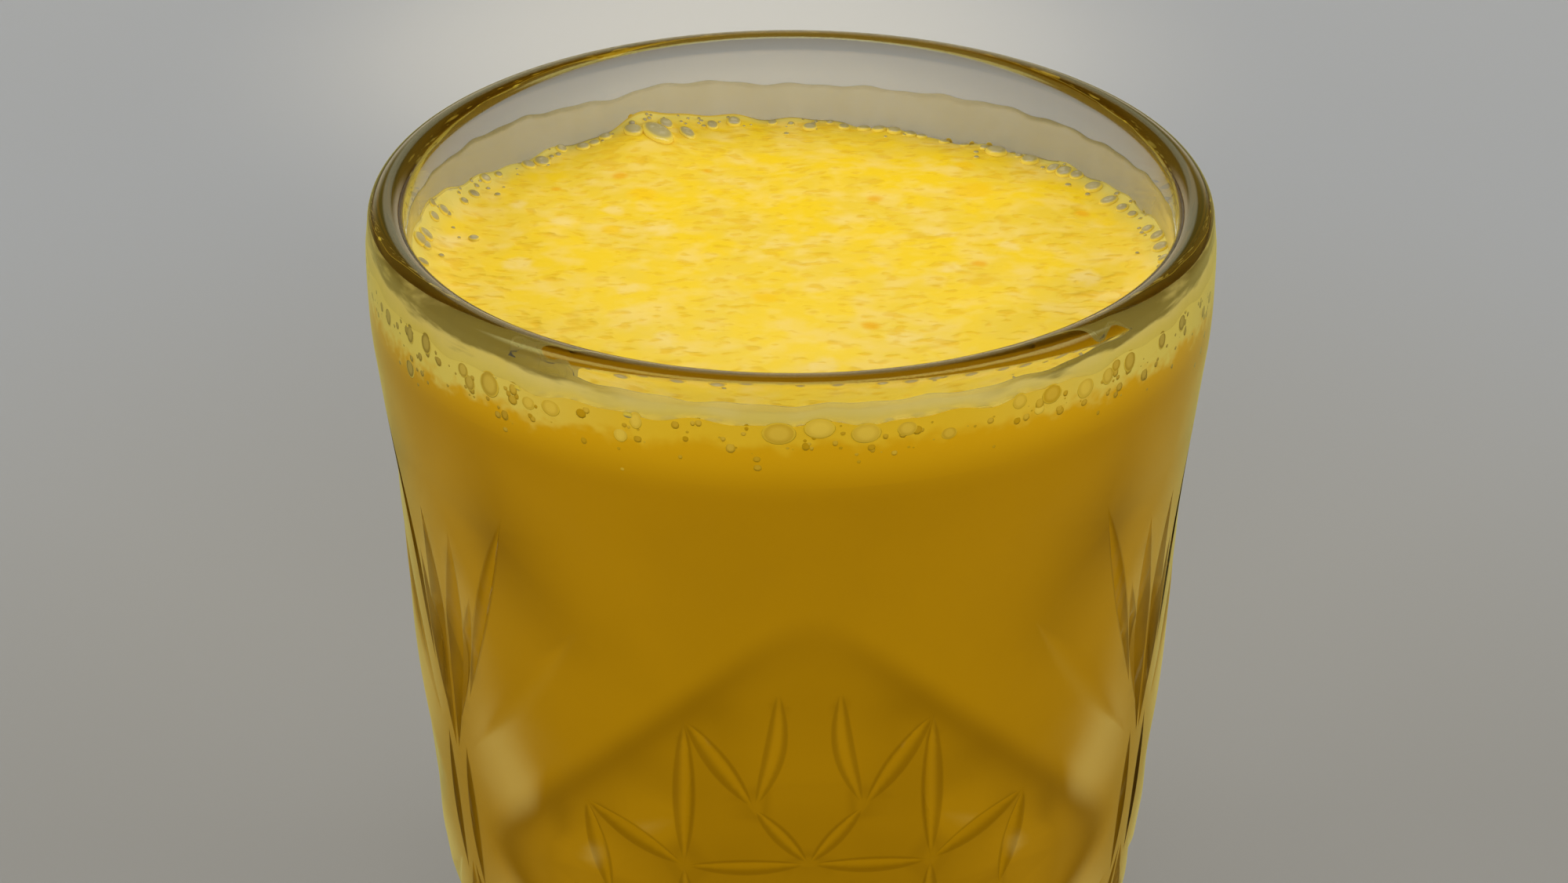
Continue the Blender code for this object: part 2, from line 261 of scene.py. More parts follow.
def star_cuts():
    """The cuts inside the diamond frame: a quarter of the star, mirrored both ways."""
    upper_node, side_node = (12.2, 24.4), (23.3, 11.6)
    upper_knot, side_knot = (5.4, 14.4), (12.6, 6.3)
    crown, hub_side = (0.0, 7.6), (20.9, 0.0)
    quarter = [
        Cut(upper_node, side_knot, 2.0, STAR_DEPTH),
        Cut(upper_node, upper_knot, 2.1, STAR_DEPTH),
        Cut(upper_knot, crown, 1.5, 0.7 * STAR_DEPTH),
        Cut(side_node, side_knot, 2.1, STAR_DEPTH),
        Cut(side_node, hub_side, 2.0, STAR_DEPTH),
        Cut(upper_knot, (3.0, 28.8), 1.8, 0.45 * STAR_DEPTH, bow=0.9),
        Cut(side_knot, crown, 1.6, 0.7 * STAR_DEPTH),
        Cut((1.2, 1.2), (5.2, 4.4), 1.6, 0.6 * STAR_DEPTH),
    ]
    cuts = [cut.turned(x_sign, y_sign) for cut in quarter for x_sign in (-1, 1) for y_sign in (-1, 1)]
    x, y = side_knot
    return cuts + [Cut((x * side, -y), (x * side, y), 1.8, 0.8 * STAR_DEPTH) for side in (-1, 1)]


def fan_cuts():
    """The leaves that spread from the foot of each fan, half of it on each edge of the repeat."""

    def ray(angle, start, end, width, depth, bow=0.0, soft=False):
        direction = Vector((math.sin(math.radians(angle)), math.cos(math.radians(angle))))
        foot = Vector((0.0, FAN_FOOT))
        return Cut(foot + direction * start, foot + direction * end, width, depth, bow, soft)

    half = [
        ray(5.5, 3.0, 31.0, 3.4, 0.9),
        ray(12.5, 8.0, 25.0, 1.9, 0.7),
        ray(18.5, 12.0, 39.0, 1.8, 0.7, bow=0.5),
        ray(37.0, 6.0, 34.0, 4.6, 0.5, soft=True),
    ]
    cuts = [
        cut.turned(-side, y_sign, y_scale, side * HALF_SECTOR)
        for cut in half for side in (-1, 1) for y_sign, y_scale in ((1, 1.0), (-1, LOWER_FAN_SCALE))
    ]
    x, y = HALF_SECTOR - 2.0, 9.5
    return cuts + [Cut((side * x, -y), (side * x, y), 1.6, 0.7) for side in (-1, 1)]


CUTS = star_cuts() + fan_cuts()

# Painted light and shade on facets between the cuts, in a quarter of the pattern: middle, half-sizes, and how
# much paler (painted light) or darker (painted shade)
FACETS = (
    (15.8, 11.4, 2.6, 2.4, 1.2), (22.5, 4.6, 2.2, 2.8, 0.9), (9.6, 26.0, 3.0, 2.6, -0.25),
    (7.6, 9.6, 2.6, 3.0, -0.1), (18.0, 18.8, 3.4, 2.4, -0.2), (3.6, 20.0, 2.4, 5.0, 0.2),
    (33.5, 11.0, 6.5, 7.5, 0.6), (39.5, 28.0, 4.5, 9.0, 0.4), (32.5, 40.5, 4.0, 8.0, -0.8),
    (24.5, 31.5, 7.0, 6.0, -0.45), (27.0, 9.5, 1.8, 4.0, -0.5),
)
FIELD_SHADE = 0.5  # painted shade of the whole field inside the diamond frame


def frame_point(turn, side):
    """A place on the diamond frame, turn radians round it and side half-widths across it."""
    reach = FRAME_REACH + side * 0.5 * FRAME_WIDTH * DIAGONAL + FRAME_ROUNDING
    straight = 1.0 - (2.0 * FRAME_ROUNDING / reach) ** 2
    size = reach * (straight / (1.0 + (1.0 - straight * math.cos(2.0 * turn) ** 2) ** 0.5)) ** 0.5
    return Vector((math.cos(turn), math.sin(turn))) * size


def frame_side(x, y):
    """Across the diamond frame, from -1 at its inner border to 1 at its outer one."""
    reach = np.hypot(x, FRAME_ROUNDING) + np.hypot(y, FRAME_ROUNDING) - FRAME_ROUNDING
    return np.clip((reach - FRAME_REACH) / (0.5 * FRAME_WIDTH * DIAGONAL), -1.0, 1.0)


def frame_depths(x, y):
    return FRAME_DEPTH * 0.5 * (1.0 - np.sin(0.5 * math.pi * frame_side(x, y)))


def leaf_depths(x, y):
    return np.max([cut.depths(x, y) for cut in CUTS], axis=0)


def cut_depths(x, y):
    """How deep the pattern goes at flat places."""
    return frame_depths(x, y) + leaf_depths(x, y)


def flat_places(places):
    """The place in the flat pattern of each place on the wall, within its own repeat."""
    sector = 2.0 * math.pi / REPEATS
    azimuth = np.mod(azimuths(places) + 0.5 * sector, sector) - 0.5 * sector
    return azimuth * WRAP_RADIUS, places[:, 2] - MEDALLION_HEIGHT


def on_outside(places):
    return reaches(places) > inner_radius(places[:, 2]) + 2.0


def cut_line_shades(places):
    """Painted shade: 1 along both borders of each sharp cut, where it is deep."""
    x, y = flat_places(places)
    lines = [cut.borders(x, y) for cut in CUTS if not cut.soft]
    return np.max(lines, axis=0) * on_outside(places)


# Painted shade on the diamond frame band, half as strong at the medallion's middle.
def frame_shade(places):
    x, y = flat_places(places)
    band = np.cos(0.5 * math.pi * frame_side(x, y)) ** 2
    return band * (0.5 + 0.5 * fade(0.0, 12.0, np.abs(x))) * on_outside(places)


def facet_light_and_shade(places):
    """Painted light and shade: 1 in the palest facets, -1 in the darkest."""
    x, y = flat_places(places)
    shade = -FIELD_SHADE * fade(0.5, -0.8, frame_side(x, y))
    for middle_x, middle_y, half_x, half_y, strength in FACETS:
        off_x, off_y = (np.abs(x) - middle_x) / half_x, (np.abs(y) - middle_y) / half_y
        shade += strength * np.exp(-(off_x ** 2 + off_y ** 2))
    return (1.0 - 0.6 * fade(0.10, 0.35, leaf_depths(x, y))) * shade * on_outside(places)


def pattern_mesh(columns, spacing):
    """The pattern's flat triangles over one repeat: places as an array, and corner numbers."""
    left, right = -HALF_SECTOR, HALF_SECTOR
    low, high = PATTERN_BOTTOM - MEDALLION_HEIGHT, PATTERN_TOP - MEDALLION_HEIGHT
    points, edges = [], []

    def add_line(line, closed=False):
        first = len(points)
        points.extend(line)
        edges.extend((i, i + 1) for i in range(first, len(points) - 1))
        if closed:
            edges.append((len(points) - 1, first))

    def inside(place):
        margin = BORDER_MARGIN
        return left + margin < place.x < right - margin and low + margin < place.y < high - margin

    rows = round((high - low) / spacing)
    xs, ys = np.linspace(left, right, columns + 1), np.linspace(low, high, rows + 1)
    border = [(x, low) for x in xs] + [(right, y) for y in ys[1:]]
    border += [(x, high) for x in xs[::-1][1:]] + [(left, y) for y in ys[::-1][1:-1]]
    add_line([Vector(place) for place in border], closed=True)
    for cut in CUTS:
        steps = max(8, round(cut.axes()[0] / spacing))
        beyond = 1.0 + 2.0 * LINE_REACH / cut.width
        sides = np.linspace(-1.0, 1.0, SOFT_LINES) if cut.soft else (-beyond, -1.0, 0.0, 1.0, beyond)
        for side in sides:
            line = [cut.point(i / steps, side) for i in range(steps + 1)]
            add_line([place for place in line if inside(place)])
    turns = [2.0 * math.pi * i / FRAME_STEPS for i in range(FRAME_STEPS)]
    for side in np.linspace(-1.0, 1.0, FRAME_LINES):
        add_line([frame_point(turn, side) for turn in turns], closed=True)
    grid = [
        (left + (i + 0.5 * (j % 2)) * spacing, low + j * spacing * TRIANGLE_ROW)
        for j in range(1, round((high - low) / spacing / TRIANGLE_ROW))
        for i in range(1, round((right - left) / spacing))
    ]
    flat = leaf_depths(*np.array(grid).T) == 0.0
    points.extend(place for place, keep in zip(map(Vector, grid), flat) if keep and inside(place))
    result = geometry.delaunay_2d_cdt(points, edges, [], 0, MERGE_WITHIN)
    return np.array([tuple(place) for place in result[0]]), np.array(result[2])


# Meshes


def wrapped(azimuth, radius, height):
    """Places at azimuths round the axis."""
    return np.stack([radius * np.sin(azimuth), -radius * np.cos(azimuth), height + 0.0 * azimuth], -1)


def belt_faces(rows, count, closed=False):
    """Faces between rows of count points that each go once round. closed joins the last row to the first."""
    faces = []
    for row in range(rows if closed else rows - 1):
        upper, lower = row * count, (row + 1) % rows * count
        for i in range(count):
            following = (i + 1) % count
            faces.append((upper + i, lower + i, lower + following, upper + following))
    return faces


def placed(name, data):
    """A new object, in the scene."""
    body = bpy.data.objects.new(name, data)
    bpy.context.scene.collection.objects.link(body)
    return body


def mesh_data(name, mesh):
    """The mesh that a bmesh holds. The bmesh is gone after it."""
    data = bpy.data.meshes.new(name)
    mesh.to_mesh(data)
    mesh.free()
    return data


class Shell:
    """Collects points and faces in millimetres, and makes one welded mesh of them."""

    def __init__(self):
        self.points, self.faces, self.count = [], [], 0

    def add(self, points, faces):
        self.points.append(points)
        self.faces.extend([tuple(int(i) + self.count for i in face) for face in faces])
        self.count += len(points)

    def lathe(self, outline, ring):
        """Turns (radius, height) points round +Z. Radius 0 closes it, because finish welds that row."""
        turns = 2.0 * math.pi * np.arange(ring) / ring - math.pi / REPEATS
        rows = [wrapped(turns, radius, height) for radius, height in outline]
        self.add(np.concatenate(rows), belt_faces(len(rows), ring))

    def finish(self, name, sharp_angle=None, attributes=None):
        """The object, welded and with its faces turned out. attributes measure the vertices' places in mm."""
        mesh = bmesh.new()
        points = np.concatenate(self.points) * MM
        corners = [mesh.verts.new(point) for point in points]
        for face in self.faces:
            mesh.faces.new([corners[i] for i in face])
        bmesh.ops.remove_doubles(mesh, verts=mesh.verts, dist=2e-6)
        bmesh.ops.recalc_face_normals(mesh, faces=mesh.faces)
        data = mesh_data(name, mesh)
        data.shade_smooth()
        if sharp_angle is not None:
            data.set_sharp_from_angle(angle=math.radians(sharp_angle))
        places = np.empty(len(data.vertices) * 3)
        data.vertices.foreach_get("co", places)
        places = places.reshape(-1, 3) / MM
        for label, values in (attributes or {}).items():
            layer = data.attributes.new(label, "FLOAT", "POINT")
            layer.data.foreach_set("value", np.ascontiguousarray(values(places), np.float32))
        return placed(name, data)


def hand_over(piece, material, node=None):
    """Gives a finished piece its material and its place in the model."""
    piece.data.materials.clear()
    piece.data.materials.append(material)
    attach(piece, BODY)
    if node:
        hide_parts(node)


# Shader maths


def math_method(operation, turned=False):
    """A method that joins a number and another through a Math node. turned puts the other first."""

    def method(self, other):
        pair = (other, self) if turned else (self, other)
        return self.tree.number("ShaderNodeMath", dict(enumerate(pair)), operation=operation)

    return method


class Number:
    """A socket that holds a number. Sums with it add Math nodes."""

    def __init__(self, tree, socket):
        self.tree, self.socket = tree, socket

    __add__ = __radd__ = math_method("ADD")
    __sub__ = math_method("SUBTRACT")
    __rsub__ = math_method("SUBTRACT", turned=True)
    __mul__ = __rmul__ = math_method("MULTIPLY")
    __truediv__ = math_method("DIVIDE")
    __pow__ = math_method("POWER")
    least = math_method("MINIMUM")
    above = math_method("GREATER_THAN")

    def fade(self, low, high):
        """0 at low, 1 at high, smooth between. high may be the smaller."""
        sockets = {"Value": self, "From Min": low, "From Max": high}
        if low > high:
            sockets.update({"From Min": high, "From Max": low, "To Min": 1.0, "To Max": 0.0})
        return self.tree.number("ShaderNodeMapRange", sockets, interpolation_type="SMOOTHSTEP")


class Tree:
    """A node tree: a material's, the world's or a modifier's."""

    def __init__(self, tree):
        self.tree = tree

    def node(self, kind, sockets=None, **settings):
        """Adds a node: its settings first, then the values or links of its sockets, by name or number."""
        node = self.tree.nodes.new(kind)
        for key, value in settings.items():
            setattr(node, key, value)
        for key, value in (sockets or {}).items():
            socket = node.inputs[key]
            value = value.socket if isinstance(value, Number) else value
            if isinstance(value, bpy.types.NodeSocket):
                self.tree.links.new(value, socket)
            else:
                socket.default_value = value
        return node

    def made(self, kind, sockets=None, **settings):
        """The first output of a new node."""
        return self.node(kind, sockets, **settings).outputs[0]

    def number(self, kind, sockets=None, output=0, **settings):
        return Number(self, self.node(kind, sockets, **settings).outputs[output])

    def parts(self, vector):
        """The three numbers of a vector."""
        return [Number(self, part) for part in self.node("ShaderNodeSeparateXYZ", {0: vector}).outputs]

    def blend(self, factor, first, second):
        """first where factor is 0, second where it is 1. Either may be a colour or a link."""
        sockets = {0: factor}
        for number, value in ((6, first), (7, second)):
            sockets[number] = value if isinstance(value, bpy.types.NodeSocket) else (*value[:3], 1.0)
        return self.node("ShaderNodeMix", sockets, data_type="RGBA").outputs[2]

    def layers(self, tone, *layers):
        """A tone with layers over it, each given as its share and its colour."""
        for share, colour in layers:
            tone = self.blend(share, tone, colour)
        return tone


class Finish(Tree):
    """One material and its node tree."""

    def __init__(self, name):
        self.material = bpy.data.materials.new(name)
        self.material.use_nodes = True
        super().__init__(self.material.node_tree)
        self.tree.nodes.clear()
        self.exit = self.node("ShaderNodeOutputMaterial")

    def place(self):
        return self.node("ShaderNodeTexCoord").outputs["Object"]

    def axis(self, which):
        return self.parts(self.place())[which] / MM

    def aside(self, low, high):
        """0 near the plane x = 0, 1 far from it. low and high are squared distances."""
        across = self.axis(0)
        return (across * across).fade(low, high)

    def attribute(self, label):
        return self.number("ShaderNodeAttribute", output="Fac", attribute_name=label)

    def noise(self, size, detail=2.0, roughness=0.5, shift=0.0, stretch=(1.0, 1.0, 1.0)):
        """Noise whose features are about `size` millimetres, from 0 to 1. shift gives another draw of it."""
        scale = tuple(1000.0 / size * part for part in stretch)
        place = self.made("ShaderNodeMapping", {"Vector": self.place(), "Scale": scale})
        sockets = {"Vector": place, "W": shift, "Scale": 1.0, "Detail": detail, "Roughness": roughness}
        return self.number("ShaderNodeTexNoise", sockets, noise_dimensions="4D")

    def bump(self, height, distance, strength=1.0):
        sockets = {"Strength": strength, "Distance": distance * MM, "Height": height}
        return self.made("ShaderNodeBump", sockets)

    def principled(self, **sockets):
        named = {key.replace("_", " "): value for key, value in sockets.items()}
        return self.made("ShaderNodeBsdfPrincipled", named)

    def dull(self, colour, roughness, gloss, **sockets):
        """A surface that isn't clear. gloss is its specular level."""
        return self.principled(Base_Color=colour, Roughness=roughness, Specular_IOR_Level=gloss, **sockets)

    def mixed(self, factor, first, second):
        return self.made("ShaderNodeMixShader", {0: factor, 1: first, 2: second})

    def wetted(self, shader, share):
        """A watery surface against glass. Where share is 1, it mirrors light that grazes it in the glass."""
        graze = self.number("ShaderNodeFresnel", {"IOR": WATER_IOR / GLASS_IOR})
        mirror = self.made("ShaderNodeBsdfGlossy", {"Color": (1.0, 1.0, 1.0, 1.0), "Roughness": 0.0})
        return self.mixed(graze * share, shader, mirror)

    def show(self, shader):
        self.tree.links.new(shader, self.exit.inputs["Surface"])
        return self.material


def darker(colour, share):
    return tuple(share * part for part in colour)


# Settings


def setting(kind, name, description, default, **more):
    return kind(name=name, description=description, default=default, **more)


def colour_setting(name, description, default):
    return setting(FloatVectorProperty, name, description, default, subtype="COLOR", size=3, min=0.0, max=1.0)


class TumblerSettings(bpy.types.PropertyGroup):
    tint: colour_setting("Tint", "Colour of the glass", (0.60, 0.55, 0.24))
    density: setting(
        FloatProperty, "Depth of tint", "How fast the tint deepens with thickness, per metre", 85.0,
        min=0.0, max=1000.0,
    )
    spacing: setting(
        FloatProperty, "Fineness", "Distance between the points of the cut wall, in millimetres", 1.05,
        min=0.6, max=4.0,
    )


class DrinkSettings(bpy.types.PropertyGroup):
    colour: colour_setting("Colour", "Mango lassi well below its top", (0.558, 0.289, 0.001))
    # The colour at the top is the drink with painted light from above.
    lit_top_colour: colour_setting("Colour at the top", "Mango lassi just under the froth", (0.815, 0.447, 0.005))


class FrothSettings(bpy.types.PropertyGroup):
    colour: colour_setting("Colour", "Main colour of the froth", (0.87, 0.60, 0.040))
    rings: setting(IntProperty, "Rings", "Rings of points in the froth's top", 112, min=20, max=140)
    lumps: setting(IntProperty, "Lumps", "Low swellings over the froth", 60, min=0, max=400)
    seed: setting(IntProperty, "Seed", "Draw of the lumps", 11)


class FilmSettings(bpy.types.PropertyGroup):
    colour: colour_setting("Colour", "Thin film of drink on the inside of the wall", (0.45, 0.375, 0.115))
    cover: setting(
        FloatProperty, "Cover", "How much one face of the film hides", 0.26,
        subtype="FACTOR", min=0.0, max=1.0,
    )


class BubbleSettings(bpy.types.PropertyGroup):
    ring_count: setting(IntProperty, "Ring", "Middling bubbles round the froth's edge", 74, min=0)
    small_count: setting(IntProperty, "Small", "Small bubbles round the froth's edge", 170, min=0)
    wall_count: setting(IntProperty, "On the wall", "Small bubbles against the wall", 480, min=0)
    smallest: setting(FloatProperty, "Smallest", "Width of the smallest, in millimetres", 0.35, min=0.05)
    largest: setting(FloatProperty, "Largest", "Width of the ring's largest, in millimetres", 1.9, min=0.1)
    seed: setting(IntProperty, "Seed", "Draw of the bubbles", 3)


class StudioSettings(bpy.types.PropertyGroup):
    lens: setting(
        FloatProperty, "Lens", "Focal length of the camera, in millimetres", 63.0, min=10.0, max=300.0
    )
    floor_colour: colour_setting("Floor", "Pale floor", (0.284, 0.293, 0.302))


# The tumbler


# Colours of the glass: clear, then painted shade on the frame, in the dark facets and along the borders of
# the cuts
CLEAR = (0.99, 0.99, 0.985)
FRAME_PAINTED_SHADE = (0.36, 0.32, 0.10)
FACET_PAINTED_SHADE = (0.36, 0.33, 0.08)
LINE_PAINTED_SHADE = (0.20, 0.145, 0.05)
FACET_PAINTED_REFLECTION = (0.82, 0.68, 0.22, 1.0)  # painted reflection over the pale facets
LET_THROUGH = (0.97, 0.97, 0.94, 1.0)  # of the light that falls through the glass


def pressed_glass(settings):
    finish = Finish("pressed_glass")
    facet = finish.attribute("facet_light_and_shade")
    # The glass's clear colour, with painted shade on the frame, in the dark facets and along the cut borders
    tone = finish.layers(
        CLEAR,
        (finish.attribute("frame_shade") * 0.85, FRAME_PAINTED_SHADE),
        (facet.fade(0.0, -1.0) * 0.9, FACET_PAINTED_SHADE),
        (finish.attribute("cut_line_shade").fade(0.25, 0.85) * 0.55, LINE_PAINTED_SHADE),
    )
    glass = finish.principled(
        Base_Color=tone, Roughness=0.02, IOR=GLASS_IOR, Transmission_Weight=1.0,
        Specular_Tint=(1.0, 0.8, 0.1, 1.0), Normal=finish.bump(finish.noise(9.0, detail=1.0), 0.05),
    )
    # A painted reflection over the pale facets
    painted_reflection = finish.made("ShaderNodeBsdfDiffuse", {"Color": FACET_PAINTED_REFLECTION})
    glass = finish.mixed(facet.fade(0.0, 1.0) * 0.40, glass, painted_reflection)
    clear = finish.made("ShaderNodeBsdfTransparent", {"Color": LET_THROUGH})
    rays = finish.node("ShaderNodeLightPath")
    for label in ("Is Shadow Ray", "Is Diffuse Ray"):
        glass = finish.mixed(rays.outputs[label], glass, clear)
    tint = {"Color": (*settings.tint, 1.0), "Density": settings.density}
    absorption = finish.made("ShaderNodeVolumeAbsorption", tint)
    finish.tree.links.new(absorption, finish.exit.inputs["Volume"])
    return finish.show(glass)


def well_outline(offset):
    """The inside of the tumbler below its straight wall, offset outwards into the glass."""
    height = FLOOR_HEIGHT + FLOOR_FILLET
    return arc(inner_radius(height) - FLOOR_FILLET, height, FLOOR_FILLET + offset, 0.0, -90.0, 12)


class LASSI_OT_tumbler(bpy.types.Operator):
    """Make the pressed tumbler, with its cut-star wall, round lip and hollow foot"""

    bl_idname = "lassi.tumbler"
    bl_label = "Tumbler"

    def execute(self, context):
        settings = context.scene.lassi_tumbler
        columns = round(2.0 * HALF_SECTOR / settings.spacing)
        ring = REPEATS * columns
        shell = Shell()
        places, triangles = pattern_mesh(columns, settings.spacing)
        heights = places[:, 1] + MEDALLION_HEIGHT
        radii = outer_radius(heights) - cut_depths(places[:, 0], places[:, 1])
        for repeat in range(REPEATS):
            turn = repeat * 2.0 * math.pi / REPEATS
            shell.add(wrapped(turn + places[:, 0] / WRAP_RADIUS, radii, heights), triangles)
        lip = arc(LIP_CENTRE_RADIUS, LIP_CENTRE_HEIGHT, LIP_RADIUS, 180.0, 0.0, 28)
        band = [(float(outer_radius(height)), height) for height in np.linspace(BAND_TOP, PATTERN_TOP, 9)]
        wall = [(inner_radius(height), height) for height in np.linspace(WALL_FOOT, WALL_TOP, 30)]
        floor = [(radius, FLOOR_HEIGHT) for radius in (0.0, 8.0, 16.0, 22.0)]
        shell.lathe(floor + well_outline(0.0)[::-1] + wall + lip + band, ring)
        foot = [(float(outer_radius(height)), height) for height in (PATTERN_BOTTOM, 5.0, 4.0, 3.2)]
        foot += arc(FOOT_FACE_RADIUS, FOOT_ROUNDING, FOOT_ROUNDING, 0.0, -90.0, 8)
        foot += [(FOOT_FACE_INNER_RADIUS, 0.0), (FOOT_FACE_INNER_RADIUS - 1.2, 0.35)]
        foot += [(radius, FOOT_HOLLOW) for radius in (FOOT_FACE_INNER_RADIUS - 3.0, 10.0, 0.0)]
        shell.lathe(foot, ring)
        shades = {"cut_line_shade": cut_line_shades, "frame_shade": frame_shade, "facet_light_and_shade": facet_light_and_shade}
        hand_over(shell.finish("tumbler", 24.0, shades), pressed_glass(settings), "glass")
        return {"FINISHED"}


# The drink


def mango_drink(settings):
    finish = Finish("mango_drink")
    height = finish.axis(2)
    colour = finish.layers(
        settings.colour,
        # Lighter towards the top: painted light from above
        (height.fade(*DRINK_PAINTED_LIGHT), settings.lit_top_colour),
        (finish.noise(14.0, detail=3.0).fade(0.35, 0.75) * 0.25, darker(settings.colour, 0.8)),
    )
    shader = finish.dull(colour, 0.4, 0.1, Normal=finish.bump(finish.noise(2.5), 0.05))
    return finish.show(finish.wetted(shader, height.fade(*DRINK_WETTING) * 0.6 + 0.4))


class LASSI_OT_drink(bpy.types.Operator):
    """Make the drink that fills the tumbler up to the froth"""

    bl_idname = "lassi.drink"
    bl_label = "Drink"

    def execute(self, context):
        top = [(0.0, DRINK_TOP), (20.0, DRINK_TOP)]
        heights = np.linspace(DRINK_TOP, WALL_FOOT, 26)
        wall = [(inner_radius(height) + INTO_WALL, height) for height in heights]
        floor = [(radius, FLOOR_HEIGHT - INTO_WALL) for radius in (20.0, 8.0, 0.0)]
        shell = Shell()
        shell.lathe(top + wall + well_outline(INTO_WALL) + floor, DRINK_RING)
        hand_over(shell.finish("drink", 30.0), mango_drink(context.scene.lassi_drink), "lassi")
        return {"FINISHED"}


# The froth


# Swellings: the mound is x, y, rise and spread; the lumps are drawn within these
MOUND = (-15.5, 30.5, 1.3, 6.0)
LUMP_REACH = 36.0
LUMP_RISES = (-0.3, 0.4)
LUMP_SPREADS = (2.2, 5.0)
MENISCUS_REACH = 1.7
SIDE_DEPTH, MORE_DEPTH = 2.2, 2.6  # of the froth's side at -Y, and how much more at the sides
EDGING, MORE_EDGING = 1.6, 1.8  # how far in its paler edge reaches at -Y, and how much more at the sides

# Patches in the froth: x, y and half-width
ORANGE_SPOTS = (
    (-17.6, 21.7, 1.1), (-8.2, 23.6, 0.8), (31.4, 10.1, 1.0), (-24.6, 19.2, 0.8), (9.7, 15.1, 1.2),
    (19.1, -2.0, 1.1), (7.1, -16.2, 1.2),
)
GOLDEN_SPOTS = (
    (-15.1, 17.2, 2.2), (20.5, 16.6, 3.2), (-18.5, 8.4, 1.7), (20.3, 24.0, 1.5), (-3.0, -9.0, 2.0),
)
PALE_SPOTS = (
    (-13.3, 7.6, 2.0), (-1.1, 4.3, 2.0), (-35.0, 5.0, 2.2), (-27.9, 0.5, 1.8), (-23.7, 10.5, 1.8),
    (-18.3, 13.6, 1.6), (-16.3, -6.5, 2.0), (-12.8, -17.8, 2.2), (-28.7, 15.0, 1.6), (16.2, 5.8, 1.8),
    (22.5, 2.4, 1.8), (29.3, -6.0, 2.4), (10.0, -18.8, 2.2), (16.0, -3.0, 1.6), (2.0, -25.0, 2.0),
)


def froth_lumps(settings):
    draw = random.Random(settings.seed)
    lumps = [MOUND]
    for _ in range(settings.lumps):
        angle, reach = draw.uniform(0.0, 2.0 * math.pi), LUMP_REACH * draw.random() ** 0.5
        height, spread = draw.uniform(*LUMP_RISES), draw.uniform(*LUMP_SPREADS)
        lumps.append((reach * math.cos(angle), reach * math.sin(angle), height, spread))
    return lumps


def froth_edge_height(azimuth):
    ripple = 0.2 * np.sin(23.0 * azimuth + 1.0) + 0.15 * np.sin(41.0 * azimuth)
    return HEIGHT - depth_round(FROTH_EDGE, azimuth) + ripple


def froth_edge_radius(azimuth):
    return inner_radius(froth_edge_height(azimuth)) + INTO_WALL


def froth_heights(x, y, lumps):
    azimuth = np.arctan2(x, -y)
    edge = froth_edge_radius(azimuth)
    level = FROTH_LEVEL - FROTH_TILT * y
    wall_level = FROTH_LEVEL + FROTH_TILT * edge * np.cos(azimuth)
    climb = np.exp(-np.maximum(edge - np.hypot(x, y), 0.0) / MENISCUS_REACH)
    heights = level + (froth_edge_height(azimuth) - wall_level) * climb
    for lump_x, lump_y, rise, spread in lumps:
        heights += rise * (1.0 - climb) * np.exp(-((x - lump_x) ** 2 + (y - lump_y) ** 2) / spread ** 2)
    return heights


def patches(table):
    """A measure that is 1 in the middle of each patch of a table, on the froth's top."""

    def measure(places):
        x, y = places[:, 0], places[:, 1]
        near = [
            np.exp(-(((x - middle_x) / size) ** 2 + ((y - middle_y) / size) ** 2))
            for middle_x, middle_y, size in table
        ]
        return np.max(near, axis=0)

    return measure


def froth_side(places):
    """1 on the side, which is against the glass, 0 on the top."""
    return fade(-INTO_WALL, 0.0, past_wall(places))


def below_edge(places):
    """How far down the side, as a share of the depth at which the froth gives way to the drink."""
    azimuth = azimuths(places)
    depth = SIDE_DEPTH + MORE_DEPTH * (1.0 - np.cos(azimuth))
    return np.maximum(froth_edge_height(azimuth) - places[:, 2], 0.0) / depth


def near_wall(places):
    azimuth = azimuths(places)
    reach = froth_edge_radius(azimuth) - reaches(places)
    return np.exp(-np.maximum(reach, 0.0) / (EDGING + MORE_EDGING * np.sin(azimuth) ** 2))


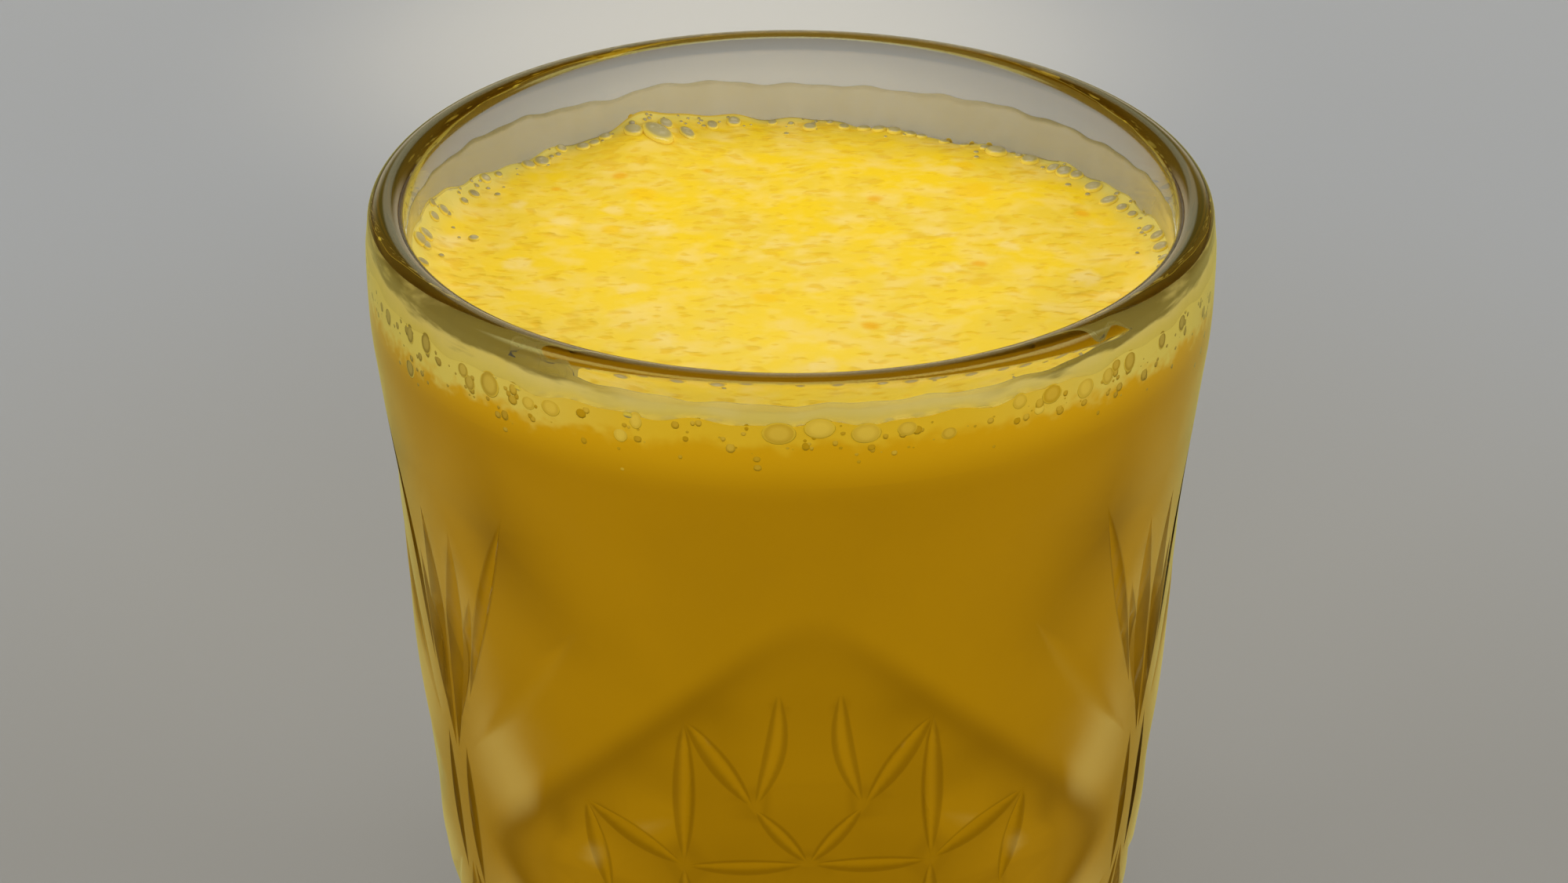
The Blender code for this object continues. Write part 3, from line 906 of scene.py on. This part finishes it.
def froth(settings):
    """Yellow froth with vivid, orange and cream patches and soft pits, paler where it meets the wall."""
    finish = Finish("froth")
    drink = bpy.context.scene.lassi_drink
    broad = finish.noise(9.0, detail=3.0, roughness=0.6)
    middling = finish.noise(3.6, detail=2.0, shift=4.0, stretch=(0.85, 1.0, 1.0))
    mottle = finish.noise(1.8, detail=2.0, shift=13.0, stretch=(0.8, 1.0, 1.0))
    ragged = finish.noise(2.2, detail=3.0, shift=6.0) - 0.5
    dashes = finish.noise(1.05, detail=1.5, roughness=0.45, shift=21.0, stretch=(0.6, 1.0, 1.0))
    pits = finish.noise(1.9, detail=1.0, roughness=0.4, shift=33.0, stretch=(0.65, 1.0, 1.0))
    pit = (pits - (broad - 0.5) * 0.3).fade(0.60, 0.74)
    dash = (dashes - (broad - 0.5) * 0.35).fade(0.54, 0.70)

    def spots(label, unevenness):
        return finish.attribute(label) + ragged * unevenness

    top = finish.layers(
        settings.colour,
        (broad.fade(0.42, 0.60), (0.92, 0.62, 0.012)),
        # Paler towards -Y: painted light on the near side of the froth
        (finish.axis(1).fade(12.0, -30.0) * 0.4, (0.93, 0.69, 0.10)),
        (middling.fade(0.44, 0.74) * 0.62, (0.92, 0.68, 0.20)),
        (mottle.fade(0.50, 0.70) * 0.25, (0.93, 0.72, 0.19)),
        (spots("pale_spot", 1.6).fade(0.35, 1.1) * 0.5, (0.92, 0.72, 0.30)),
        (spots("golden_spot", 0.9).fade(0.35, 0.9) * 0.85, (0.92, 0.57, 0.006)),
        (dash * 0.60, (0.82, 0.49, 0.012)),
        (pit * 0.55, (0.80, 0.47, 0.015)),
        (spots("orange_spot", 0.8).fade(0.3, 0.9) * 0.8, (0.85, 0.42, 0.006)),
        (finish.attribute("near_wall").fade(0.25, 0.95) * 0.8, (0.68, 0.60, 0.17)),
    )
    below = finish.attribute("below_edge") + ragged * 1.1 + (dashes - 0.5)
    side = finish.attribute("side")
    # The drink's amber, lighter towards the top: painted light from above
    amber = finish.blend(finish.axis(2).fade(*DRINK_PAINTED_LIGHT), drink.colour, drink.lit_top_colour)
    cream = finish.blend(finish.aside(120.0, 900.0), (0.91, 0.585, 0.03), (0.87, 0.71, 0.17))
    tone = finish.blend(side, top, finish.blend(below.fade(0.55, 1.25), cream, amber))
    fine = finish.noise(0.7, detail=3.0, shift=2.0)
    relief = fine * 0.2 + mottle * 0.4 - pit * 0.7 - dash * 0.5
    shader = finish.dull(tone, 0.55, 0.1, Normal=finish.bump(relief * (1.0 - side), 0.3, 0.5))
    return finish.show(finish.wetted(shader, side))


def disc(rings):
    """A flat disc of triangles: the turn and the share of the radius of its points, and its faces."""
    turns = [np.zeros(1)] + [2.0 * math.pi * np.arange(6 * k) / (6 * k) for k in range(1, rings + 1)]
    share = np.concatenate([np.full(len(turn), k / rings) for k, turn in enumerate(turns)])
    first = np.cumsum([0] + [len(turn) for turn in turns])
    faces = []
    for k in range(1, rings + 1):
        for side in range(6):
            for i in range(k):
                outer = first[k] + side * k + i
                outer_next = first[k] + (side * k + i + 1) % (6 * k)
                inner = first[k - 1] + (side * (k - 1) + i) % max(6 * (k - 1), 1)
                faces.append((outer, outer_next, inner))
                if i < k - 1:
                    inner_next = first[k - 1] + (side * (k - 1) + i + 1) % (6 * (k - 1))
                    faces.append((outer_next, inner_next, inner))
    return np.concatenate(turns), share, faces


class LASSI_OT_froth(bpy.types.Operator):
    """Make the froth: an uneven top with pits, which climbs where it meets the wall"""

    bl_idname = "lassi.froth"
    bl_label = "Froth"

    def execute(self, context):
        settings = context.scene.lassi_froth
        angle, share, faces = disc(settings.rings)
        top = wrapped(angle, share * froth_edge_radius(angle), 0.0)
        top[:, 2] = froth_heights(top[:, 0], top[:, 1], froth_lumps(settings))
        shell = Shell()
        shell.add(top, faces)
        # The side runs from the last ring down the wall, and the underside closes it.
        count = 6 * settings.rings
        rim_angle, rim_height = angle[-count:], top[-count:, 2]
        rows = [top[-count:]]
        for share in np.linspace(0.0, 1.0, 13)[1:]:
            height = rim_height + (DRINK_LEVEL - rim_height) * share
            rows.append(wrapped(rim_angle, inner_radius(height) + INTO_WALL, height))
        rows += [rows[-1] * (inwards, inwards, 1.0) for inwards in (0.5, 0.0)]
        shell.add(np.concatenate(rows), belt_faces(len(rows), count))
        piece = shell.finish("froth_top", 50.0, {
            "side": froth_side, "near_wall": near_wall, "below_edge": below_edge,
            "pale_spot": patches(PALE_SPOTS), "golden_spot": patches(GOLDEN_SPOTS),
            "orange_spot": patches(ORANGE_SPOTS),
        })
        hand_over(piece, froth(settings), "froth")
        return {"FINISHED"}


# The film on the wall


FILM_THICKNESS = 0.06  # inwards from the wall
FILM_INTO_WALL = 0.08  # at its foot, and half of it at its upper edge
FILM_OVERLAP = 0.5  # with the froth's side


def film_edge_height(azimuth):
    ripple = 0.12 * np.sin(29.0 * azimuth) + 0.08 * np.sin(53.0 * azimuth)
    return HEIGHT - depth_round(FILM_EDGE, azimuth) + ripple


def film_share(places):
    """0 at the film's foot, 1 at its upper edge."""
    azimuth = azimuths(places)
    low = froth_edge_height(azimuth)
    return (places[:, 2] - low) / (film_edge_height(azimuth) - low)


def film_front(places):
    """1 where the film is thick, on the -Y half of the wall."""
    return fade(-0.35, 0.25, np.cos(azimuths(places)))


def against_wall(places):
    """1 on the film's outer face, which wets the glass."""
    return fade(0.0, 0.02, past_wall(places))


def wall_film(settings):
    """A cream smear, thick at the front and thin at the back, with painted shade in brushed streaks near its
    top.
    """
    finish = Finish("wall_film")
    blots = finish.noise(5.0, detail=4.0, stretch=(1.0, 1.0, 0.7))
    strokes = finish.noise(1.3, detail=3.0, shift=3.0, stretch=(0.22, 0.22, 1.0)) - 0.5
    uneven = blots - 0.5
    share, front = finish.attribute("film_share"), finish.attribute("film_front")
    aside = finish.aside(350.0, 900.0)
    edge = (share + uneven * 0.2).fade(0.84, 0.97)
    ragged = share + strokes * 0.25 + uneven * 0.3
    thick_cover = front * (0.60 + uneven * 0.3) * (1.0 - ragged.fade(0.62, 0.85) * (0.5 - aside * 0.45))
    thick_cover = thick_cover * (ragged.fade(-0.2, 0.5) * (1.0 - aside) + aside)
    cover = settings.cover * (0.7 + blots * 0.6) + thick_cover + edge * (0.06 + aside * 0.2) * (1.0 - front)
    thin = finish.blend(edge * (0.35 + aside * 0.5), settings.colour, (0.20, 0.17, 0.055))
    thick = finish.layers(
        (0.90, 0.75, 0.28),
        (blots.fade(0.4, 0.7), (0.86, 0.69, 0.19)),
        ((share + strokes * 0.5).fade(0.65, 0.0), (0.87, 0.71, 0.17)),
    )
    # Painted shade in brushed streaks near the film's top, on the front half and towards the sides
    streak_shade = (share + strokes * 1.6).fade(0.45, 0.85) * front * finish.aside(160.0, 520.0)
    tone = finish.layers(thin, (front, thick), (streak_shade * 0.85, (0.20, 0.15, 0.025)))
    shader = finish.dull(tone, 0.3, 0.2, Alpha=cover.least(0.95))
    return finish.show(finish.wetted(shader, finish.attribute("against_wall")))


class LASSI_OT_film(bpy.types.Operator):
    """Make the thin film that the drink left on the inside of the wall, above the froth"""

    bl_idname = "lassi.film"
    bl_label = "Film on the wall"

    def execute(self, context):
        count, rows = 360, 12
        azimuth = 2.0 * math.pi * np.arange(count) / count
        low, high = froth_edge_height(azimuth) - FILM_OVERLAP, film_edge_height(azimuth)
        # Up its inner face, and down its outer one
        loop = [(share, -FILM_THICKNESS) for share in np.linspace(0.0, 1.0, rows)]
        loop += [(share, FILM_INTO_WALL * (1.0 - 0.5 * share ** 6)) for share in np.linspace(1.0, 0.0, rows)]
        points = []
        for share, offset in loop:
            height = low + (high - low) * share
            points.append(wrapped(azimuth, inner_radius(height) + offset, height))
        shell = Shell()
        shell.add(np.concatenate(points), belt_faces(len(loop), count, closed=True))
        piece = shell.finish("wall_film", 60.0, {
            "film_share": film_share, "film_front": film_front, "against_wall": against_wall,
        })
        hand_over(piece, wall_film(context.scene.lassi_film))
        return {"FINISHED"}


# Bubbles


# Large bubbles: azimuth in degrees, distance in from the wall over the froth, width and length in mm
FROTH_BUBBLES = (
    (-157.0, 4.0, 3.0, 5.6), (-153.5, 2.2, 2.3, 3.2), (-163.0, 3.6, 1.6, 3.2), (-149.0, 0.9, 1.7, 1.8),
    (-144.0, 1.3, 1.6, 1.7), (139.0, 1.6, 2.8, 2.6), (132.0, 1.4, 2.3, 2.3), (124.0, 1.3, 2.0, 2.0),
    (116.0, 1.4, 1.9, 2.0), (110.0, 1.8, 1.7, 2.2), (-172.5, 1.3, 1.7, 1.8), (-168.5, 1.7, 1.5, 1.9),
    (174.0, 2.4, 1.8, 1.9), (168.0, 1.6, 1.5, 1.6), (159.0, 1.3, 1.9, 1.9), (154.0, 1.1, 1.4, 1.5),
)
# On the wall, seen through it: azimuth in degrees, distance below the froth's edge, width and height in mm
WALL_BUBBLES = (
    (-71.7, 1.0, 1.4, 2.0), (-64.0, 0.6, 1.5, 2.1), (-59.5, 0.6, 1.6, 2.0), (-61.4, 2.3, 0.9, 1.3),
    (-56.5, 1.1, 1.0, 1.1), (-51.0, 0.7, 1.5, 1.7), (-45.8, 0.9, 2.5, 2.8), (-49.4, 2.4, 0.9, 1.0),
    (-41.7, 1.6, 1.1, 1.1), (-39.0, 1.0, 1.4, 1.4), (-35.4, 0.9, 2.0, 1.7), (-30.7, 1.0, 1.2, 1.1),
    (-4.1, 0.6, 3.1, 2.2), (1.1, 0.6, 3.0, 2.1), (7.1, 0.7, 2.9, 2.1), (12.5, 0.9, 2.0, 1.6),
    (18.2, 2.2, 1.6, 1.4), (28.4, 0.5, 1.5, 1.5), (33.5, 0.7, 2.1, 1.8), (39.4, 1.1, 2.1, 2.2),
    (43.6, 0.9, 1.5, 1.9), (48.1, 0.9, 1.7, 2.2), (56.0, 0.6, 1.3, 1.7), (62.0, 0.8, 1.5, 1.8),
)
CLEAR_TURN = 0.035  # radians between a drawn bubble of the ring and a large one
RING_INSETS = (0.5, 1.6)  # in mm
RING_WIDTHS = (0.55, 0.95)  # by the largest
RING_STRETCHES = (0.9, 1.25)
WALL_STRETCHES = (0.9, 1.4)
BUBBLE_RISE = 0.02  # how far a bubble's middle stands out of the froth, by its width
BUBBLE_INSET = 0.02  # and how far inside the froth's side one against the wall is, in mm


class Growth(Tree):
    """A Geometry Nodes tree that puts a bubble on each point of a mesh, and gives back a plain mesh."""

    def __init__(self, name, inputs):
        super().__init__(bpy.data.node_groups.new(name, "GeometryNodeTree"))
        interface = self.tree.interface
        for way in ("INPUT", "OUTPUT"):
            interface.new_socket("Geometry", in_out=way, socket_type="NodeSocketGeometry")
        self.values = {}
        kinds = {int: "NodeSocketInt", float: "NodeSocketFloat", bpy.types.Material: "NodeSocketMaterial"}
        for label, value in inputs.items():
            socket = interface.new_socket(label, in_out="INPUT", socket_type=kinds[type(value)])
            self.values[socket.identifier] = value
        self.entry = self.node("NodeGroupInput")
        self.exit = self.node("NodeGroupOutput")

    def given(self, label):
        return Number(self, self.entry.outputs[label])

    def named(self, label, kind):
        return self.made("GeometryNodeInputNamedAttribute", {"Name": label}, data_type=kind)

    def store(self, shape, label, value, domain="POINT"):
        sockets = {"Geometry": shape, "Name": label, "Value": value}
        return self.made("GeometryNodeStoreNamedAttribute", sockets, data_type="FLOAT", domain=domain)

    def run(self, mesh, name):
        """The plain mesh object that the tree makes of mesh."""
        carrier = placed(name, mesh)
        modifier = carrier.modifiers.new(name, "NODES")
        modifier.node_group = self.tree
        for identifier, value in self.values.items():
            modifier[identifier] = value
        graph = bpy.context.evaluated_depsgraph_get()
        grown = bpy.data.meshes.new_from_object(carrier.evaluated_get(graph))
        carrier.modifiers.remove(modifier)
        carrier.data = grown
        grown.name = name
        return carrier


def bubble_growth(name, thickness, seed, material):
    """Round domes that stand on points, with ring and tone kept on each for its colours."""
    growth = Growth(name, {
        "Thickness": thickness, "Large from": 0.6 * MM, "Large segments": 22, "Small segments": 10,
        "Unevenness": 0.1, "Seed": seed, "Material": material,
    })
    x, y, _ = growth.parts(growth.made("GeometryNodeInputPosition"))
    facing, uphill = (growth.named(label, "FLOAT_VECTOR") for label in ("facing", "uphill"))
    turn = growth.made("FunctionNodeAlignRotationToVector", {"Vector": facing}, axis="Z")
    sockets = {"Rotation": turn, "Vector": uphill}
    turn = growth.made("FunctionNodeAlignRotationToVector", sockets, axis="Y", pivot_axis="Z")
    width, length = (Number(growth, growth.named(label, "FLOAT")) for label in ("width", "length"))

    def chance(low, high, draw):
        sockets = {2: low, 3: high, 8: growth.given("Seed") + draw}
        return growth.number("FunctionNodeRandomValue", sockets, output=1, data_type="FLOAT")

    uneven = chance(-1.0, 1.0, 1) * growth.given("Unevenness") + 1.0
    scale = growth.made("ShaderNodeCombineXYZ", {
        0: width * uneven, 1: length * uneven, 2: width * growth.given("Thickness"),
    })
    every = growth.node("GeometryNodeJoinGeometry")
    large = width.above(growth.given("Large from"))
    for draw, chosen, segments, rings, lowest, highest in (
        (2, large, "Large segments", 8, 0.4, 1.0), (3, 1.0 - large, "Small segments", 4, 0.0, 0.5),
    ):
        sockets = {"Segments": growth.given(segments), "Rings": rings, "Radius": 1.0}
        ball = growth.made("GeometryNodeMeshUVSphere", sockets)
        shape = growth.made("GeometryNodeSetShadeSmooth", {0: ball})
        bubbles = growth.made("GeometryNodeInstanceOnPoints", {
            "Points": growth.entry.outputs["Geometry"], "Selection": chosen,
            "Instance": growth.store(shape, "ring", (x * x + y * y) ** 0.5), "Rotation": turn, "Scale": scale,
        })
        bubbles = growth.store(bubbles, "tone", chance(lowest, highest, draw), "INSTANCE")
        growth.tree.links.new(bubbles, every.inputs[0])
    real = growth.made("GeometryNodeRealizeInstances", {0: every.outputs[0]})
    dressed = growth.made("GeometryNodeSetMaterial", {0: real, "Material": growth.given("Material")})
    growth.tree.links.new(dressed, growth.exit.inputs[0])
    return growth


def carrier_mesh(name, places, facing, uphill, widths, lengths):
    """Points in millimetres that each carry the directions and half-sizes of a bubble."""
    mesh = bpy.data.meshes.new(name)
    mesh.from_pydata([tuple(place) for place in places * MM], [], [])
    for label, vectors in (("facing", facing), ("uphill", uphill)):
        mesh.attributes.new(label, "FLOAT_VECTOR", "POINT").data.foreach_set("vector", vectors.ravel())
    for label, sizes in (("width", widths), ("length", lengths)):
        values = np.ascontiguousarray(0.5 * MM * sizes, np.float32)
        mesh.attributes.new(label, "FLOAT", "POINT").data.foreach_set("value", values)
    return mesh


def columns_of(table):
    """The columns of a table of bubbles, its azimuths in radians."""
    azimuth, *others = np.array(table).T
    return [np.radians(azimuth), *others]


def froth_bubble_points(settings):
    """Bubbles in the froth where it climbs the wall: large ones, a close ring of middling, and small ones."""
    draw = np.random.default_rng(settings.seed)
    large = columns_of(FROTH_BUBBLES)
    ring = 2.0 * math.pi * (np.arange(settings.ring_count) + draw.uniform(-0.3, 0.3, settings.ring_count))
    ring /= settings.ring_count
    apart = np.abs(np.angle(np.exp(1j * (ring[:, None] - large[0][None, :]))))
    ring = ring[apart.min(axis=1) > CLEAR_TURN]
    small = draw.uniform(0.0, 2.0 * math.pi, settings.small_count)
    ring_inset, small_inset = draw.uniform(*RING_INSETS, len(ring)), draw.exponential(1.1, len(small)) + 0.2
    ring_width = draw.uniform(*RING_WIDTHS, len(ring)) * settings.largest
    small_width = settings.smallest + draw.exponential(0.25, len(small))
    ring_length = ring_width * draw.uniform(*RING_STRETCHES, len(ring))
    azimuth, inset, width, length = np.hstack([
        large, (ring, ring_inset, ring_width, ring_length), (small, small_inset, small_width, small_width),
    ])
    x, y, _ = wrapped(azimuth, froth_edge_radius(azimuth) - inset, 0.0).T
    lumps = froth_lumps(bpy.context.scene.lassi_froth)
    step = 0.05
    height = froth_heights(x, y, lumps)
    slope_x = (froth_heights(x + step, y, lumps) - height) / step
    slope_y = (froth_heights(x, y + step, lumps) - height) / step
    facing = np.stack([-slope_x, -slope_y, np.ones_like(x)], -1)
    facing /= np.linalg.norm(facing, axis=1)[:, None]
    places = np.stack([x, y, height], -1) + BUBBLE_RISE * width[:, None] * facing
    return carrier_mesh("froth_bubbles", places, facing, wrapped(azimuth, 1.0, 0.0), width, length)


def wall_bubble_points(settings):
    """Bubbles of the froth's side, flat against the wall."""
    draw = np.random.default_rng(settings.seed + 1)
    count = settings.wall_count
    spread = draw.uniform(-math.pi, math.pi, count)
    size = settings.smallest + draw.exponential(0.28, count)
    depth = draw.gamma(2.2, 0.65, count) * (1.0 + 0.6 * np.abs(np.sin(spread)))
    small = (spread, depth, size, size * draw.uniform(*WALL_STRETCHES, count))
    azimuth, depth, width, height = np.hstack([columns_of(WALL_BUBBLES), small])
    z = froth_edge_height(azimuth) - depth
    upwards = np.tile((0.0, 0.0, 1.0), (len(azimuth), 1))
    places = wrapped(azimuth, inner_radius(z) + INTO_WALL - BUBBLE_INSET, z)
    return carrier_mesh("wall_bubbles", places, wrapped(azimuth, 1.0, 0.0), upwards, width, height)


def froth_bubble_skin():
    """Grey-beige domes with a darker ring, a painted highlight in the middle, and a yellow border where the
    froth wets them.
    """
    finish = Finish("froth_bubble_skin")
    ring = finish.attribute("ring")
    # A painted highlight in spots over the dome's middle
    painted_highlight = finish.noise(0.9, detail=1.0, shift=5.0).fade(0.5, 0.65) * ring.fade(0.7, 0.3)
    skin = finish.layers(
        (0.34, 0.28, 0.12),
        (finish.attribute("tone"), (0.47, 0.40, 0.20)),
        (painted_highlight * 0.6, (0.62, 0.55, 0.34)),
        (ring.fade(0.45, 0.72) * 0.6, (0.45, 0.37, 0.12)),
        (ring.fade(0.70, 0.92), (0.86, 0.66, 0.09)),
    )
    return finish.show(finish.dull(skin, 0.2, 0.3))


def wall_bubble_skin():
    """Flat bubbles seen through the wall: tan in the middle, with a thin dark ring."""
    finish = Finish("wall_bubble_skin")
    ring, tone = finish.attribute("ring"), finish.attribute("tone")
    aside = finish.aside(380.0, 1350.0)
    dark_ring = ring.fade(0.42, 0.80) * (0.95 - tone * 0.85 * (1.0 - aside))
    skin = finish.layers(
        (0.60, 0.34, 0.004),
        (tone, (0.96, 0.70, 0.11)),
        (aside * 0.85, (0.40, 0.31, 0.09)),
        (dark_ring, finish.blend(aside, (0.58, 0.33, 0.004), (0.22, 0.16, 0.03))),
        (ring.fade(0.80, 0.96), finish.blend(aside, (0.86, 0.60, 0.05), (0.84, 0.65, 0.12))),
    )
    return finish.show(finish.dull(skin, 0.35, 0.1))


class LASSI_OT_bubbles(bpy.types.Operator):
    """Make the bubbles in the froth's edge and those against the wall"""

    bl_idname = "lassi.bubbles"
    bl_label = "Bubbles"

    def execute(self, context):
        settings = context.scene.lassi_bubbles
        for name, points, thickness, skin in (
            ("froth_bubbles", froth_bubble_points, 0.5, froth_bubble_skin),
            ("wall_bubbles", wall_bubble_points, 0.1, wall_bubble_skin),
        ):
            material = skin()
            growth = bubble_growth(name, thickness, settings.seed, material)
            hand_over(growth.run(points(settings), name), material)
        return {"FINISHED"}


# The studio


FLOOR_RADIUS = 4.0
FLOOR_PAINTED_WARM_SHADE = (0.262, 0.257, 0.240)  # painted shade on the floor round the glass, warmed by the amber light that comes through it
WARM_WHITE = (1.0, 0.98, 0.92)
DIM = (0.05, 0.05, 0.05)
BACKDROP = (0.34, 0.36, 0.365)

# Soft boxes: name, width and height, place, what it points at, power and colour
SOFT_BOXES = (
    ("back_lamp", (1.2, 0.6), (0.05, 0.95, 0.75), (0.0, 0.1, 0.08), 9.2, (1.0, 0.96, 0.89)),
    ("front_lamp", (1.0, 0.4), (0.0, -1.1, 0.30), (0.0, 0.0, 0.06), 8.0, WARM_WHITE),
    ("left_lamp", (0.6, 0.5), (-0.95, -0.25, 0.35), (0.0, 0.0, 0.07), 5.1, WARM_WHITE),
    ("right_lamp", (0.6, 0.5), (0.95, -0.25, 0.35), (0.0, 0.0, 0.07), 5.1, WARM_WHITE),
)

# The camera: its distance from the tumbler's axis and height in metres, and its angles in degrees
CAMERA_DISTANCE = 0.2524
CAMERA_HEIGHT = 0.2260
CAMERA_AZIMUTH = 2.6
CAMERA_TURN = 2.44
CAMERA_DOWN = 30.097


def studio_air():
    """Dim air, pale where it is looked at, with bright low sides and horizons for the glass to mirror."""
    world = bpy.data.worlds.new("studio_air")
    world.use_nodes = True
    air = Tree(world.node_tree)
    x, y, z = air.parts(air.node("ShaderNodeTexCoord").outputs["Generated"])
    rays = air.node("ShaderNodeLightPath").outputs
    back = (x * x).fade(0.05, 0.01) * y.fade(0.5, 0.8) * z.fade(0.02, 0.12)
    mirrored = air.layers(
        (0.20, 0.15, 0.05),
        (y.fade(-0.3, 0.7) * z.fade(0.02, -0.12) * z.fade(-0.97, -0.55), (0.42, 0.37, 0.12)),
        (y.fade(0.45, 0.75) * z.fade(0.02, 0.2) * z.fade(0.85, 0.6), (0.56, 0.43, 0.085)),
        (back, (1.3, 1.25, 0.9)),
        (y.fade(0.80, 0.95) * z.fade(-0.02, 0.08) * z.fade(0.35, 0.15), (1.4, 1.25, 0.9)),
        (z.fade(0.4, 0.7) * y.fade(-0.22, -0.10) * y.fade(0.14, 0.04), (3.6, 4.4, 8.0)),
    )
    colour = air.layers(
        DIM,
        (rays["Is Glossy Ray"], mirrored),
        (rays["Is Transmission Ray"], air.blend(z.fade(0.0, 0.2), BACKDROP, DIM)),
        (rays["Is Camera Ray"], air.blend(z.fade(0.05, 0.6), BACKDROP, (0.26, 0.27, 0.275))),
    )
    air.tree.links.new(colour, world.node_tree.nodes["Background"].inputs["Color"])
    return world


def floor_finish(settings):
    finish = Finish("studio_floor")
    x, y = finish.axis(0), finish.axis(1)
    colour = finish.layers(
        settings.floor_colour,
        (finish.noise(60.0, detail=3.0) * 0.1, darker(settings.floor_colour, 0.9)),
        # Darker and warmer near the glass: painted shade and amber light from the glass
        (((x * x + y * y) ** 0.5).fade(280.0, 100.0), FLOOR_PAINTED_WARM_SHADE),
    )
    return finish.show(finish.dull(colour, 0.6, 0.2))


def lamp(name, kind, place, aim, power, colour, **sizes):
    """A lamp that lights the scene and isn't seen itself."""
    data = bpy.data.lights.new(name, kind)
    data.energy, data.color = power, colour
    for key, size in sizes.items():
        setattr(data, key, size)
    body = placed(name, data)
    body.location = place
    body.rotation_euler = (Vector(aim) - Vector(place)).to_track_quat("-Z", "Y").to_euler()
    body.visible_camera = body.visible_glossy = body.visible_transmission = False


class LASSI_OT_studio(bpy.types.Operator):
    """Make the pale floor, the soft lamps and the camera"""

    bl_idname = "lassi.studio"
    bl_label = "Studio"

    def execute(self, context):
        settings = context.scene.lassi_studio
        scene = context.scene
        scene.view_settings.view_transform = "Standard"
        scene.cycles.glossy_bounces = 10
        mesh = bmesh.new()
        bmesh.ops.create_circle(mesh, cap_ends=True, segments=96, radius=FLOOR_RADIUS)
        floor = placed("studio_floor", mesh_data("studio_floor", mesh))
        floor.data.materials.append(floor_finish(settings))
        floor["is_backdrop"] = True
        floor.visible_glossy = False
        for name, (width, height), place, aim, power, colour in SOFT_BOXES:
            lamp(name, "AREA", place, aim, power, colour, shape="RECTANGLE", size=width, size_y=height)
        lamp(
            "glow_lamp", "SPOT", (0.0, 0.31, 0.5), (0.0, 0.31, 0.0), 8.0, (1.0, 0.85, 0.58),
            spot_size=math.radians(24.0), spot_blend=1.0, shadow_soft_size=0.03,
        )
        lamp(
            "sky_lamp", "SUN", (0.0, 0.35, 1.0), (0.0, 0.0, 0.0), 1.2, (0.97, 0.99, 1.0),
            angle=math.radians(70.0),
        )
        scene.world = studio_air()
        data = bpy.data.cameras.new("camera")
        data.lens, data.sensor_width, data.clip_start = settings.lens, 36.0, 0.01
        camera = placed("camera", data)
        azimuth, turn, down = map(math.radians, (CAMERA_AZIMUTH, CAMERA_TURN, CAMERA_DOWN))
        camera.location = (
            -CAMERA_DISTANCE * math.sin(azimuth), -CAMERA_DISTANCE * math.cos(azimuth), CAMERA_HEIGHT
        )
        camera.rotation_euler = (math.pi / 2.0 - down, 0.0, -turn)
        scene.camera = camera
        return {"FINISHED"}


# The add-on


SETTINGS = {
    "lassi_tumbler": TumblerSettings,
    "lassi_drink": DrinkSettings,
    "lassi_froth": FrothSettings,
    "lassi_film": FilmSettings,
    "lassi_bubbles": BubbleSettings,
    "lassi_studio": StudioSettings,
}
OPERATORS = (
    LASSI_OT_tumbler, LASSI_OT_drink, LASSI_OT_froth, LASSI_OT_film, LASSI_OT_bubbles, LASSI_OT_studio
)


class LASSI_PT_panel(bpy.types.Panel):
    """The pieces of the lassi and their settings"""

    bl_idname = "LASSI_PT_panel"
    bl_label = "Mango lassi"
    bl_space_type = "VIEW_3D"
    bl_region_type = "UI"
    bl_category = "Lassi"

    def draw(self, context):
        for operator, label in zip(OPERATORS, SETTINGS):
            box = self.layout.box()
            settings = getattr(context.scene, label)
            for name in settings.__annotations__:
                box.prop(settings, name)
            box.operator(operator.bl_idname)


def register():
    for label, group in SETTINGS.items():
        bpy.utils.register_class(group)
        setattr(bpy.types.Scene, label, PointerProperty(type=group))
    for cls in (*OPERATORS, LASSI_PT_panel):
        bpy.utils.register_class(cls)


def unregister():
    for cls in (LASSI_PT_panel, *reversed(OPERATORS)):
        bpy.utils.unregister_class(cls)
    for label, group in reversed(SETTINGS.items()):
        delattr(bpy.types.Scene, label)
        bpy.utils.unregister_class(group)


def main():
    register()
    for operator in OPERATORS:
        group, name = operator.bl_idname.split(".")
        getattr(getattr(bpy.ops, group), name)()
    sizes = {"cad": CAD_BOUNDS, "visual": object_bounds()}
    sizes = {key: [[float(part) for part in corner] for corner in box] for key, box in sizes.items()}


if __name__ == "__main__":
    main()
